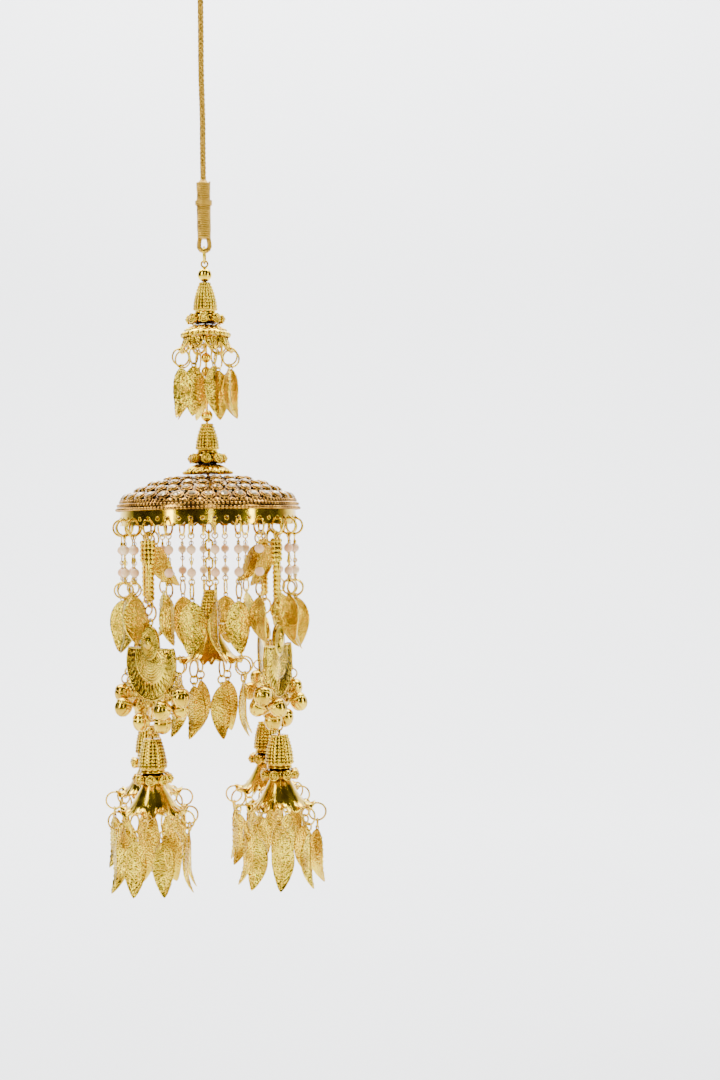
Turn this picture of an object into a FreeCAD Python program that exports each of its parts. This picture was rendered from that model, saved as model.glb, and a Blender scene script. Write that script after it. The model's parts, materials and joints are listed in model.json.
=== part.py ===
import FreeCAD, Part
import math
import os

import Sketcher

# Kalire bridal ornament: a gold cord holds a tiered drop with a jewelled dome, twenty pearl
# strands and four pendants with bells, and five flower bells fringed with leaves.
# Millimetres. Z is up and the origin is the point where the cord's knot is tied.
# Sizes whose names end in _z are heights, measured down from that point as negative numbers.

Vec = FreeCAD.Vector
Place = FreeCAD.Placement

SIZES = {
    "cord_wide": (2.4, "diameter of the braided cord"),
    "knot_tall": (6.0, "length of the knot above the cord"),
    "binding_z": (-72.0, "top of the wound binding"),
    "binding_tall": (21.2, "length of the wound binding"),
    "binding_r": (2.75, "radius of the wound binding"),
    "tie_z": (-80.3, "height of the tie round the binding"),
    "eye_r": (1.9, "middle radius of the cord eye"),
    "eye_cord_r": (0.95, "radius of the cord in the eye"),
    "eye_bottom_z": (-97.65, "lowest point of the eye's centre line"),
    "hook_ring_r": (2.9, "middle radius of the hook ring"),
    "hook_wire_r": (0.4, "wire radius of the hook ring"),
    "stem_r": (0.45, "radius of the wires that carry the beads"),
    "bore_r": (0.58, "radius of the holes for those wires"),
    "small_eye_r": (1.15, "middle radius of the small wire eyes"),
    "small_wire_r": (0.35, "wire radius of the small wire eyes"),
    "ball_r": (2.5, "radius of the plain ball"),
    "top_cone_top_r": (1.6, "top radius of the upper cone bead"),
    "top_cone_wide_r": (4.15, "widest radius of the upper cone bead"),
    "top_cone_tall": (12.0, "length of the upper cone bead"),
    "crown_cone_top_r": (1.7, "top radius of the crown's cone bead"),
    "crown_cone_wide_r": (4.0, "widest radius of the crown's cone bead"),
    "crown_cone_tall": (11.1, "length of the crown's cone bead"),
    "drop_cone_top_r": (2.7, "top radius of the drops' cone beads"),
    "drop_cone_wide_r": (4.7, "widest radius of the drops' cone beads"),
    "drop_cone_tall": (12.1, "length of the drops' cone beads"),
    "centre_cone_top_r": (1.6, "top radius of the middle cone bead"),
    "centre_cone_wide_r": (3.6, "widest radius of the middle cone bead"),
    "centre_cone_tall": (12.4, "length of the middle cone bead"),
    "rosette_core_r": (4.2, "radius of a rosette's flat core"),
    "rosette_core_tall": (2.4, "thickness of a rosette's flat core"),
    "rosette_ball_r": (1.95, "radius of a rosette's balls"),
    "cap_r": (9.0, "radius of the upper cap's disc"),
    "cap_tip_r": (10.4, "radius at the tips of the cap's petals"),
    "flange_r": (9.2, "radius of the flange on the dome"),
    "bead_large_r": (1.8, "radius of the large stem beads"),
    "bead_low_r": (2.15, "radius of the lowest stem bead"),
    "dome_r": (33.0, "radius of the dome"),
    "bezel_r": (2.4, "radius of the stone cups"),
    "bezel_tall": (2.6, "height of the stone cups with their buried part"),
    "band_r": (31.5, "outer radius of the rim band"),
    "band_wall": (0.8, "thickness of the rim band"),
    "band_tall": (6.4, "height of the rim band"),
    "band_hole_r": (0.5, "radius of the holes in the rim band"),
    "notch_side": (1.3, "side of the square notches between the band's scallops"),
    "link_r": (2.9, "middle radius of the rim rings"),
    "link_wire_r": (0.38, "wire radius of the rim rings"),
    "pearl_r": (1.6, "radius of a pearl"),
    "pearl_wire_r": (0.25, "radius of a pearl wire"),
    "pearl_bore_r": (0.36, "radius of a pearl's hole"),
    "pearl_eye_r": (1.0, "middle radius of a pearl wire's eyes"),
    "drop_ring_r": (2.8, "middle radius of the rings on the strands"),
    "short_ring_r": (2.4, "middle radius of the rings beside the corners"),
    "cap_ring_r": (3.05, "middle radius of the rings on the cap"),
    "flower_ring_r": (3.0, "middle radius of the rings on the flower bells"),
    "bar_ring_r": (2.45, "middle radius of the rings beside the bead bars"),
    "ring_wire_r": (0.36, "wire radius of the leaves' rings"),
    "leaf_wall": (0.8, "thickness of a leaf"),
    "leaf_cup_r": (9.0, "radius of a leaf's hollow"),
    "leaf_rib_r": (0.45, "radius of a leaf's middle rib"),
    "pearl_leaf_tall": (18.4, "length of a pearl strand's leaf"),
    "pearl_leaf_wide": (10.0, "width of a pearl strand's leaf"),
    "short_leaf_tall": (16.2, "length of a leaf beside a corner"),
    "short_leaf_wide": (9.0, "width of a leaf beside a corner"),
    "cap_leaf_tall": (18.0, "length of a leaf on the cap"),
    "cap_leaf_wide": (8.0, "width of a leaf on the cap"),
    "flower_leaf_tall": (18.8, "length of a leaf on a flower bell"),
    "flower_leaf_wide": (8.0, "width of a leaf on a flower bell"),
    "bar_leaf_tall": (15.5, "length of a leaf beside a bead bar"),
    "bar_leaf_wide": (8.0, "width of a leaf beside a bead bar"),
    "granule_r": (0.95, "radius of a bead bar's granules"),
    "bar_core": (1.1, "thickness of a bead bar's core"),
    "disc_r": (13.3, "radius of a pendant's plate"),
    "disc_cut": (5.3, "height of the plate's flat top above its centre"),
    "disc_wall": (1.0, "thickness of the plate"),
    "disc_rim_wall": (1.5, "thickness of the plate's rim"),
    "disc_rim_wide": (0.7, "width of the plate's rim"),
    "medallion_tall": (12.0, "height of the oval medallion"),
    "medallion_wide": (9.7, "width of the oval medallion"),
    "medallion_deep": (3.2, "thickness of the oval medallion"),
    "loop_r": (1.15, "middle radius of the loops round the plate"),
    "bell_r": (3.15, "radius of a bell"),
    "bell_slot": (0.8, "width of a bell's slot"),
    "bell_ring_r": (1.85, "middle radius of a bell's ring"),
    "bell_wire_r": (0.3, "wire radius of a bell's ring"),
    "chain_link_r": (1.2, "middle radius of the ends of the middle chain's links"),
    "chain_link_tall": (4.115, "length of a link of the middle chain between its wires' middles"),
    "chain_wire_r": (0.38, "wire radius of the middle chain's links"),
    "centre_ring_r": (2.8, "middle radius of the ring above the middle drop"),
    "small_link_r": (1.9, "middle radius of the second ring above a lower drop"),
    "flower_neck_r": (3.4, "radius at the top of a flower bell"),
    "flower_r": (12.4, "radius at a flower bell's rim"),
}

# Places that are counted, turned or measured down from the origin.
GAP = 0.1
ROSETTE_BALLS = 8
ROSETTE_RADIUS = 5.25
PETALS = 8
SCALLOPS = 48
STRANDS = 24
STRAND_STEP = 360.0 / STRANDS
CORNER_TURN = 9.0
FIRST_CORNER = 45.0 + CORNER_TURN
MAIN_STONES = 34
BALL_Z = -106.2
TOP_CONE_Z = -108.9
TOP_ROSETTE_Z = -122.2
CAP_Z = -124.4
STEM_BEADS_Z = (-136.0, -141.0, -146.0)
LOW_BEAD_Z = -156.9
CROWN_CONE_Z = -159.7
CROWN_ROSETTE_Z = -172.3
FLANGE_Z = -174.3
DOME_Z = -178.6
BEZEL_RADIUS = 29.2
BEZEL_Z = -185.4
BEZEL_TILT = 42.0
BAND_Z = -189.8
HOLE_Z = -194.0
STEM_FOOT_Z = -184.8
PEARLS_Z = (-204.84, -212.76)
FLOWER_RING_RADIUS = 12.9
FLOWER_RING_DROP = 12.15
LEAF_NECK = 0.7
SHORT_NECK = 0.3
FLOWER_NECK = 3.0
BELL_LOOP_STEP = 12.5
LOOPS = 13
SIDE_LEAF_LEAN = 12.0
SIDE_LEAF_SWING = {1: 18.0, 2: -18.0, 3: 18.0, 4: -18.0}
SEAT = 0.2
ROSETTE_DROP = 0.35
PIN_PAST_NECK = 3.0
PIN_END_R = 1.1
CHAIN_LINKS = 8

# Each bell: its loop counted from the lowest one, its lean to the front and its spread outwards.
BELL_PLACES = (
    (2, 0.0, 0.0),
    (4, 28.0, 0.0),
    (4, -28.0, 0.0),
    (6, 0.0, 18.0),
)
# Two bells that share a loop sit apart by this much each way, and this much higher in it.
PAIR_ASIDE = 0.36
PAIR_LIFT = 0.5

# Each corner: its number, the bar's turn from facing outwards and the plate's turn beyond it.
CORNERS = (
    (1, 0.0, -9.0),
    (2, 0.0, 19.0),
    (3, -15.0, -25.0),
    (4, 0.0, 24.0),
)
CORNER_AZIMUTH = {1: 180.0, 2: 270.0, 3: 0.0, 4: 90.0}

doc = FreeCAD.newDocument("kalire")
sheet = doc.addObject("Spreadsheet::Sheet", "Sizes")
for row, (alias, (value, note)) in enumerate(SIZES.items(), start=1):
    sheet.set(f"A{row}", note)
    sheet.set(f"B{row}", str(value))
    sheet.setAlias(f"B{row}", alias)
doc.recompute()

nodes = []


def size(alias):
    """The value of one named size."""
    return SIZES[alias][0]


def cell(alias, scale=1.0, shift=0.0):
    """A coordinate that follows one size: its value now and its formula."""
    return scale * size(alias) + shift, f"{scale} * Sizes.{alias} + {shift}"


def between(first, second, share, shift=0.0):
    """A coordinate a share of the way from one size to another."""
    value = size(first) + (size(second) - size(first)) * share + shift
    return value, f"Sizes.{first} + (Sizes.{second} - Sizes.{first}) * {share} + {shift}"


def value_of(coordinate):
    """The number in a coordinate, bound or plain."""
    return coordinate[0] if isinstance(coordinate, tuple) else coordinate


def keep(label, item):
    """Name an object as one of the sub-parts that are written out."""
    item.Label = label
    nodes.append(item)
    return item


def turn_about(axis, angle, offset=Vec(0, 0, 0)):
    """A placement turned about an axis and then moved."""
    return Place(offset, FreeCAD.Rotation(axis, angle))


def spot(azimuth, radius, height, spin=0.0):
    """A place round the axis, where local +Y points outwards before the spin."""
    angle = math.radians(azimuth)
    offset = Vec(radius * math.cos(angle), radius * math.sin(angle), height)
    return turn_about(Vec(0, 0, 1), azimuth - 90.0 + spin, offset)


def origin_feature(body, role):
    """One of a body's own origin planes or axes."""
    return [item for item in body.Origin.OriginFeatures if item.Role == role][0]


def pin_point(sketch, geometry, place, coordinate):
    """Hold a sketch point at a coordinate, bound to the sheet where it has a formula."""
    for number, axis, edge in ((0, "DistanceX", -2), (1, "DistanceY", -1)):
        part = coordinate[number]
        if value_of(part) == 0.0:
            sketch.addConstraint(Sketcher.Constraint("PointOnObject", geometry, place, edge))
            continue
        index = sketch.addConstraint(
            Sketcher.Constraint(axis, -1, 1, geometry, place, value_of(part)))
        if isinstance(part, tuple):
            sketch.setExpression(f"Constraints[{index}]", part[1])


def draw_loop(sketch, start, steps):
    """Draw a closed loop of lines and three-point arcs. A step is (end,) or (via, end)."""
    first = None
    last = None
    here = start
    for step in steps:
        end = step[-1]
        flat_here = Vec(value_of(here[0]), value_of(here[1]), 0)
        flat_end = Vec(value_of(end[0]), value_of(end[1]), 0)
        if len(step) == 1:
            piece = sketch.addGeometry(Part.LineSegment(flat_here, flat_end), False)
            near, far = 1, 2
        else:
            via = step[0]
            flat_via = Vec(value_of(via[0]), value_of(via[1]), 0)
            piece = sketch.addGeometry(Part.ArcOfCircle(flat_here, flat_via, flat_end), False)
            forward = (sketch.getPoint(piece, 1) - flat_here).Length < 1e-6
            near, far = (1, 2) if forward else (2, 1)
            mark = sketch.addGeometry(Part.Point(flat_via), True)
            pin_point(sketch, mark, 1, via)
            sketch.addConstraint(Sketcher.Constraint("PointOnObject", mark, 1, piece))
        if last is None:
            first = (piece, near)
        else:
            sketch.addConstraint(Sketcher.Constraint("Coincident", *last, piece, near))
        pin_point(sketch, piece, near, here)
        last = (piece, far)
        here = end
    sketch.addConstraint(Sketcher.Constraint("Coincident", *last, *first))


def new_sketch(body, label, role):
    """A sketch on one of a body's origin planes."""
    sketch = body.newObject("Sketcher::SketchObject", label)
    sketch.AttachmentSupport = (origin_feature(body, role), [""])
    sketch.MapMode = "FlatFace"
    return sketch


def turned(label, start, steps):
    """A body turned about Z from a profile that is closed back to its start."""
    body = doc.addObject("PartDesign::Body", label)
    sketch = new_sketch(body, label + "_profile", "XZ_Plane")
    draw_loop(sketch, start, steps + [(start,)])
    lathe = body.newObject("PartDesign::Revolution", label + "_turned")
    lathe.Profile = sketch
    lathe.ReferenceAxis = (sketch, ["V_Axis"])
    lathe.Angle = 360.0
    doc.recompute()
    return body


def pierced(body, label, role, loops, count, circles=(), start_angle=0.0, depth=60.0):
    """Cut loops and round holes through one side of a body, repeated about Z."""
    before = body.Shape.Volume
    sketch = new_sketch(body, label, role)
    for start, steps in loops:
        draw_loop(sketch, start, steps + [(start,)])
    for across, up, radius in circles:
        ring = sketch.addGeometry(Part.Circle(Vec(across, up, 0), Vec(0, 0, 1), radius[0]), False)
        pin_point(sketch, ring, 3, (across, up))
        index = sketch.addConstraint(Sketcher.Constraint("Radius", ring, radius[0]))
        sketch.setExpression(f"Constraints[{index}]", radius[1])
    if start_angle:
        sketch.AttachmentOffset = turn_about(Vec(0, 1, 0), start_angle)
    cut = body.newObject("PartDesign::Pocket", label + "_cut")
    cut.Profile = sketch
    cut.Length = depth
    if role == "XY_Plane":
        cut.Midplane = True
    doc.recompute()
    ring_of_cuts = body.newObject("PartDesign::PolarPattern", label + "_ring")
    ring_of_cuts.Originals = [cut]
    ring_of_cuts.Axis = (origin_feature(body, "Z_Axis"), [""])
    ring_of_cuts.Angle = 360.0
    ring_of_cuts.Occurrences = count
    body.Tip = ring_of_cuts
    doc.recompute()
    removed = before - body.Shape.Volume
    print(f"{label}: {count} cuts take {removed:.2f} mm3 from {before:.2f}")
    return body


def primitive(kind, label, placement=Place(), **lengths):
    """A simple solid whose lengths are formulas of the sheet."""
    solid = doc.addObject(f"Part::{kind}", label)
    for name, formula in lengths.items():
        solid.setExpression(name, formula)
    solid.Placement = placement
    return solid


def wire_ring(label, radius, wire, facing, centre):
    """A round wire ring that faces along X, Y or Z."""
    axis, angle = {"X": (Vec(0, 1, 0), 90.0), "Y": (Vec(1, 0, 0), 90.0), "Z": (Vec(0, 0, 1), 0.0)}[facing]
    return primitive("Torus", label, turn_about(axis, angle, centre),
                     Radius1=f"Sizes.{radius}", Radius2=f"Sizes.{wire}")


def oval_link(label, radius, wire, tall):
    """A long wire link that faces along Y: two half rings and two straight sides."""
    side = size(tall) - 2.0 * size(radius)
    pieces = []
    for sign in (-1.0, 1.0):
        half = primitive("Torus", f"{label}_bend_{len(pieces)}",
                         turn_about(Vec(1, 0, 0), sign * 90.0, Vec(0, 0, sign * side / 2.0)),
                         Radius1=f"Sizes.{radius}", Radius2=f"Sizes.{wire}", Angle3="180")
        straight = primitive("Cylinder", f"{label}_side_{len(pieces)}",
                             Place(Vec(sign * size(radius), 0, -side / 2.0), FreeCAD.Rotation()),
                             Radius=f"Sizes.{wire}", Height=f"Sizes.{tall} - 2 * Sizes.{radius}")
        pieces += [half, straight]
    return fused(label, pieces)


def rod(label, wire, top, bottom):
    """An upright round rod on the local axis, from its top height to its bottom height."""
    return primitive("Cylinder", label, Place(Vec(0, 0, bottom), FreeCAD.Rotation()),
                     Radius=f"Sizes.{wire}", Height=f"{top - bottom}")


def fused(label, pieces):
    """Soldered metal: pieces joined into one solid."""
    joined = doc.addObject("Part::MultiFuse", label)
    joined.Shapes = pieces
    return joined


def drilled(label, solid, bore, reach=40.0):
    """A solid with a straight hole down its axis."""
    drill = primitive("Cylinder", label + "_drill",
                      Place(Vec(0, 0, solid.Placement.Base.z - reach / 2.0), FreeCAD.Rotation()),
                      Radius=f"Sizes.{bore}", Height=f"{reach}")
    cut = doc.addObject("Part::Cut", label)
    cut.Base = solid
    cut.Tool = drill
    return cut


def linked(label, master, placement):
    """One linked copy of a piece that is made once, moved from where that piece lies."""
    copy = doc.addObject("App::Link", label)
    copy.LinkedObject = master
    copy.Placement = placement.multiply(master.Placement)
    return copy


def field(label, items):
    """Loose pieces that share one node."""
    group = doc.addObject("Part::Compound", label)
    group.Links = items
    return keep(label, group)


def copies(label, placed):
    """A field of linked copies from pairs of a master and a placement."""
    return field(label, [linked(f"{label}_{number}", master, place)
                         for number, (master, place) in enumerate(placed)])


def cone_bead(label, top, wide, tall, rows=9):
    """A cone bead with rounded rows: narrow at its top, closing again below its widest row."""
    shoulder = 0.84
    row_bulge = 0.38
    start = (cell("bore_r"), 0.0)
    steps = [((cell(top), 0.0),)]
    for row in range(rows):
        middle = (row + 0.5) / rows
        end = (row + 1.0) / rows
        steps.append(((between(top, wide, middle, row_bulge), cell(tall, -shoulder * middle)),
                      (between(top, wide, end), cell(tall, -shoulder * end))))
    steps.append(((cell(wide, 0.95, row_bulge), cell(tall, -0.92)), (cell(wide, 0.72), cell(tall, -1.0))))
    steps.append(((cell("bore_r"), cell(tall, -1.0)),))
    return turned(label, start, steps)


def rosette(label):
    """A flat drilled core with eight balls soldered round it."""
    core = primitive("Cylinder", label + "_core",
                     Place(Vec(0, 0, -size("rosette_core_tall") / 2.0), FreeCAD.Rotation()),
                     Radius="Sizes.rosette_core_r", Height="Sizes.rosette_core_tall")
    ball = primitive("Sphere", label + "_ball", Radius="Sizes.rosette_ball_r")
    balls = [linked(f"{label}_ball_{number}", ball, spot(360.0 * number / ROSETTE_BALLS, ROSETTE_RADIUS, 0.0))
             for number in range(ROSETTE_BALLS)]
    return drilled(label, fused(label + "_joined", [core] + balls), "bore_r")


def leaf_drop(label, tall, wide, ring, neck, turn):
    """A cupped, ribbed leaf on its neck and ring. The origin is the middle of the ring."""
    top = -size(ring) - neck
    middle = top - size(tall) / 2.0
    bow = f"(Sizes.{tall}^2 + Sizes.{wide}^2) / (4 * Sizes.{wide})"
    bow_value = (size(tall) ** 2 + size(wide) ** 2) / (4.0 * size(wide))
    reach = 12.0
    sides = []
    for sign in (-1.0, 1.0):
        across = sign * (bow_value - size(wide) / 2.0)
        sides.append(primitive("Cylinder", f"{label}_side_{len(sides)}",
                               turn_about(Vec(1, 0, 0), 90.0, Vec(across, reach / 2.0, middle)),
                               Radius=bow, Height=f"{reach}"))
    outline = doc.addObject("Part::Common", label + "_outline")
    outline.Base, outline.Tool = sides
    cup_middle = Vec(0, size("leaf_wall") / 2.0 - size("leaf_cup_r"), middle - size(tall) / 2.0 - 1.0)
    cup_place = Place(cup_middle, FreeCAD.Rotation())
    cup_outer = primitive("Cylinder", label + "_cup_outer", cup_place,
                          Radius="Sizes.leaf_cup_r", Height=f"Sizes.{tall} + 2")
    cup_inner = primitive("Cylinder", label + "_cup_inner", cup_place,
                          Radius="Sizes.leaf_cup_r - Sizes.leaf_wall", Height=f"Sizes.{tall} + 2")
    cup = doc.addObject("Part::Cut", label + "_cup")
    cup.Base, cup.Tool = cup_outer, cup_inner
    blade = doc.addObject("Part::Common", label + "_blade")
    blade.Base, blade.Tool = outline, cup
    rib = primitive("Cylinder", label + "_rib",
                    Place(Vec(0, size("leaf_wall") / 2.0, top - 0.9 * size(tall)), FreeCAD.Rotation()),
                    Radius="Sizes.leaf_rib_r", Height=f"0.82 * Sizes.{tall}")
    stub = rod(label + "_stub", "stem_r", top + neck, top - 0.12 * size(tall))
    hanging = fused(label + "_leaf", [blade, rib, stub])
    hanging.Placement = turn_about(Vec(0, 0, 1), turn)
    loop = wire_ring(label + "_ring", ring, "ring_wire_r", "X", Vec(0, 0, 0))
    return fused(label, [hanging, loop])


def flower(label):
    """A hollow flower bell with eight petals, each pierced for a ring."""
    body = turned(label, (cell("flower_neck_r"), 0.0), [
        ((4.9, -2.9), (7.0, -6.4)),
        ((9.3, -9.0), (cell("flower_r"), -10.3)),
        ((cell("flower_r", 1.0, -0.2), -11.0),),
        ((8.9, -9.7), (6.2, -6.8)),
        ((4.1, -3.2), (2.6, -0.8)),
        ((cell("bore_r"), -0.8),),
        ((cell("bore_r"), 0.0),),
    ])
    notch = ((8.6, 0.0), [((14.5, 2.1),), ((14.5, -2.1),)])
    turned_hole = math.radians(180.0 / PETALS)
    hole = (10.9 * math.cos(turned_hole), 10.9 * math.sin(turned_hole), (0.95, "0.95"))
    return pierced(body, label + "_petals", "XY_Plane", [notch], PETALS, circles=[hole])


def fringe(label, master, centre, first_angle):
    """Leaf drops on the rings of one flower bell."""
    placed = []
    for number in range(PETALS):
        local = spot(first_angle + 360.0 * number / PETALS, FLOWER_RING_RADIUS, -FLOWER_RING_DROP)
        placed.append((master, centre.multiply(local)))
    return copies(label, placed)


def cord_path(points):
    """Straight runs joined by tangent arcs as large as their runs allow."""
    edges = []
    start = points[0]
    for before, corner, after in zip(points, points[1:], points[2:]):
        incoming = (corner - before).normalize()
        outgoing = (after - corner).normalize()
        shorter = min((corner - before).Length, (after - corner).Length)
        bend = incoming.getAngle(outgoing)
        reach = 0.45 * shorter
        radius = reach / math.tan(bend / 2.0)
        enter = corner - incoming * reach
        leave = corner + outgoing * reach
        middle = corner + (outgoing - incoming).normalize() * (radius / math.cos(bend / 2.0) - radius)
        edges.append(Part.LineSegment(start, enter).toShape())
        edges.append(Part.Arc(enter, middle, leave).toShape())
        print(f"cord bend: radius {radius:.1f} mm, turn {math.degrees(bend):.2f} degrees")
        start = leave
    edges.append(Part.LineSegment(start, points[-1]).toShape())
    return Part.Wire(edges)


def make_cord():
    """The cord, its knot, and the wound binding with the eye below it."""
    route = [
        Vec(0, 0, -size("knot_tall")),
        Vec(0, 0, -18.0),
        Vec(-0.2, 0, -34.0),
        Vec(0.15, 0, -49.0),
        Vec(0, 0, -61.0),
        Vec(0, 0, size("binding_z")),
    ]
    path = cord_path(route)
    section = Part.Wire(Part.Circle(route[0], route[1] - route[0], size("cord_wide") / 2.0).toShape())
    tube = path.makePipeShell([section], True, True)
    expected = math.pi * (size("cord_wide") / 2.0) ** 2 * path.Length
    print(f"cord: length {path.Length:.2f} mm, volume {tube.Volume:.2f}")
    print(f"cord: section times length {expected:.2f}")
    cord = doc.addObject("Part::Feature", "cord")
    cord.Shape = tube
    keep("cord", cord)

    knot = turned("knot", (0.0, 0.0), [
        ((1.0, 0.0),),
        ((2.8, -1.5), (1.9, -2.9)),
        ((2.7, -4.4), (cell("cord_wide", 0.5), cell("knot_tall", -1.0))),
        ((0.0, cell("knot_tall", -1.0)),),
    ])
    keep("cord_knot", knot)

    sleeve = turned("binding_sleeve", (0.0, 0.0), [
        ((cell("binding_r", 0.6), 0.0),),
        ((cell("binding_r", 0.92), -0.7), (cell("binding_r"), -2.2)),
        ((cell("binding_r"), cell("binding_tall", -0.86)),),
        ((cell("binding_r", 0.98), cell("binding_tall", -0.95)),
         (cell("binding_r", 0.86), cell("binding_tall", -1.0))),
        ((0.0, cell("binding_tall", -1.0)),),
    ])
    sleeve.Placement = Place(Vec(0, 0, size("binding_z")), FreeCAD.Rotation())
    tie = primitive("Torus", "binding_tie", Place(Vec(0, 0, size("tie_z")), FreeCAD.Rotation()),
                    Radius1="Sizes.binding_r - 0.25", Radius2="0.6")
    centre_z = size("eye_bottom_z") + size("eye_r")
    bend = primitive("Torus", "eye_bend", turn_about(Vec(1, 0, 0), -90.0, Vec(0, 0, centre_z)),
                     Radius1="Sizes.eye_r", Radius2="Sizes.eye_cord_r", Angle3="180")
    legs = []
    binding_foot = size("binding_z") - size("binding_tall")
    for sign in (-1.0, 1.0):
        leg = rod(f"eye_leg_{len(legs)}", "eye_cord_r", binding_foot + 1.0, centre_z)
        leg.Placement = Place(Vec(sign * size("eye_r"), 0, centre_z), FreeCAD.Rotation())
        legs.append(leg)
    keep("cord_binding", fused("binding", [sleeve, tie, bend] + legs))


def make_top():
    """The hook ring, the wire and the beads, rosettes, cap and flange that are strung on it."""
    ring_z = size("eye_bottom_z") + size("eye_cord_r") + GAP + size("hook_wire_r") - size("hook_ring_r")
    keep("hook_ring", wire_ring("hook", "hook_ring_r", "hook_wire_r", "X", Vec(0, 0, ring_z)))
    ring_strand = ring_z - size("hook_ring_r")
    eye_z = ring_strand + size("hook_wire_r") + GAP + size("small_wire_r") - size("small_eye_r")
    eye = wire_ring("stem_eye", "small_eye_r", "small_wire_r", "Y", Vec(0, 0, eye_z))
    foot = wire_ring("stem_foot", "small_eye_r", "small_wire_r", "Y", Vec(0, 0, STEM_FOOT_Z))
    wire = rod("stem_rod", "stem_r", eye_z - size("small_eye_r"), STEM_FOOT_Z + size("small_eye_r"))
    keep("stem_wire", fused("stem", [eye, wire, foot]))

    ball = primitive("Sphere", "ball_solid", Place(Vec(0, 0, BALL_Z), FreeCAD.Rotation()),
                     Radius="Sizes.ball_r")
    keep("top_ball", drilled("ball", ball, "bore_r"))
    top_cone = cone_bead("upper_cone", "top_cone_top_r", "top_cone_wide_r", "top_cone_tall")
    top_cone.Placement = Place(Vec(0, 0, TOP_CONE_Z), FreeCAD.Rotation())
    keep("top_cone", top_cone)
    crown_cone = cone_bead("lower_cone", "crown_cone_top_r", "crown_cone_wide_r", "crown_cone_tall", 8)
    crown_cone.Placement = Place(Vec(0, 0, CROWN_CONE_Z), FreeCAD.Rotation())
    keep("crown_cone", crown_cone)

    beads = []
    for height in STEM_BEADS_Z:
        bead = primitive("Sphere", f"bead_{len(beads)}", Place(Vec(0, 0, height), FreeCAD.Rotation()),
                         Radius="Sizes.bead_large_r")
        beads.append(drilled(f"drilled_bead_{len(beads)}", bead, "bore_r"))
    low = primitive("Sphere", "low_bead", Place(Vec(0, 0, LOW_BEAD_Z), FreeCAD.Rotation()),
                    Radius="Sizes.bead_low_r")
    beads.append(drilled("drilled_low_bead", low, "bore_r"))
    field("stem_beads", beads)


def make_cap():
    """The domed cap with eight pierced petals, and the flange that sits on the dome."""
    cap = turned("cap_body", (cell("bore_r"), 0.0), [
        ((2.5, 0.0),),
        ((6.5, -1.0), (cell("cap_r"), -3.2)),
        ((cell("cap_r"), -4.0),),
        ((7.6, -4.2),),
        ((7.9, -6.8), (cell("cap_tip_r"), -9.8)),
        ((cell("cap_tip_r", 1.0, -0.7), -10.1),),
        ((7.1, -7.2), (6.8, -4.2)),
        ((6.8, -3.2),),
        ((4.2, -1.8), (cell("bore_r"), -1.2)),
    ])
    slot = ((0.6, -5.0), [((1.5, -11.0),), ((-1.5, -11.0),), ((-0.6, -5.0),)])
    pierced(cap, "cap_slots", "XZ_Plane", [slot], PETALS)
    pierced(cap, "cap_holes", "XZ_Plane", [], PETALS, circles=[(0.0, -8.6, (0.8, "0.8"))],
            start_angle=180.0 / PETALS)
    cap.Placement = Place(Vec(0, 0, CAP_Z), FreeCAD.Rotation())
    keep("top_cap", cap)
    flange = turned("flange_body", (cell("bore_r"), 0.0), [
        ((3.2, 0.0),),
        ((6.4, -0.8), (cell("flange_r", 1.0, -0.7), -2.6)),
        ((cell("flange_r"), -3.2), (cell("flange_r", 1.0, -0.7), -3.8)),
        ((cell("bore_r"), -3.8),),
    ])
    flange.Placement = Place(Vec(0, 0, FLANGE_Z), FreeCAD.Rotation())
    keep("crown_flange", flange)


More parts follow.
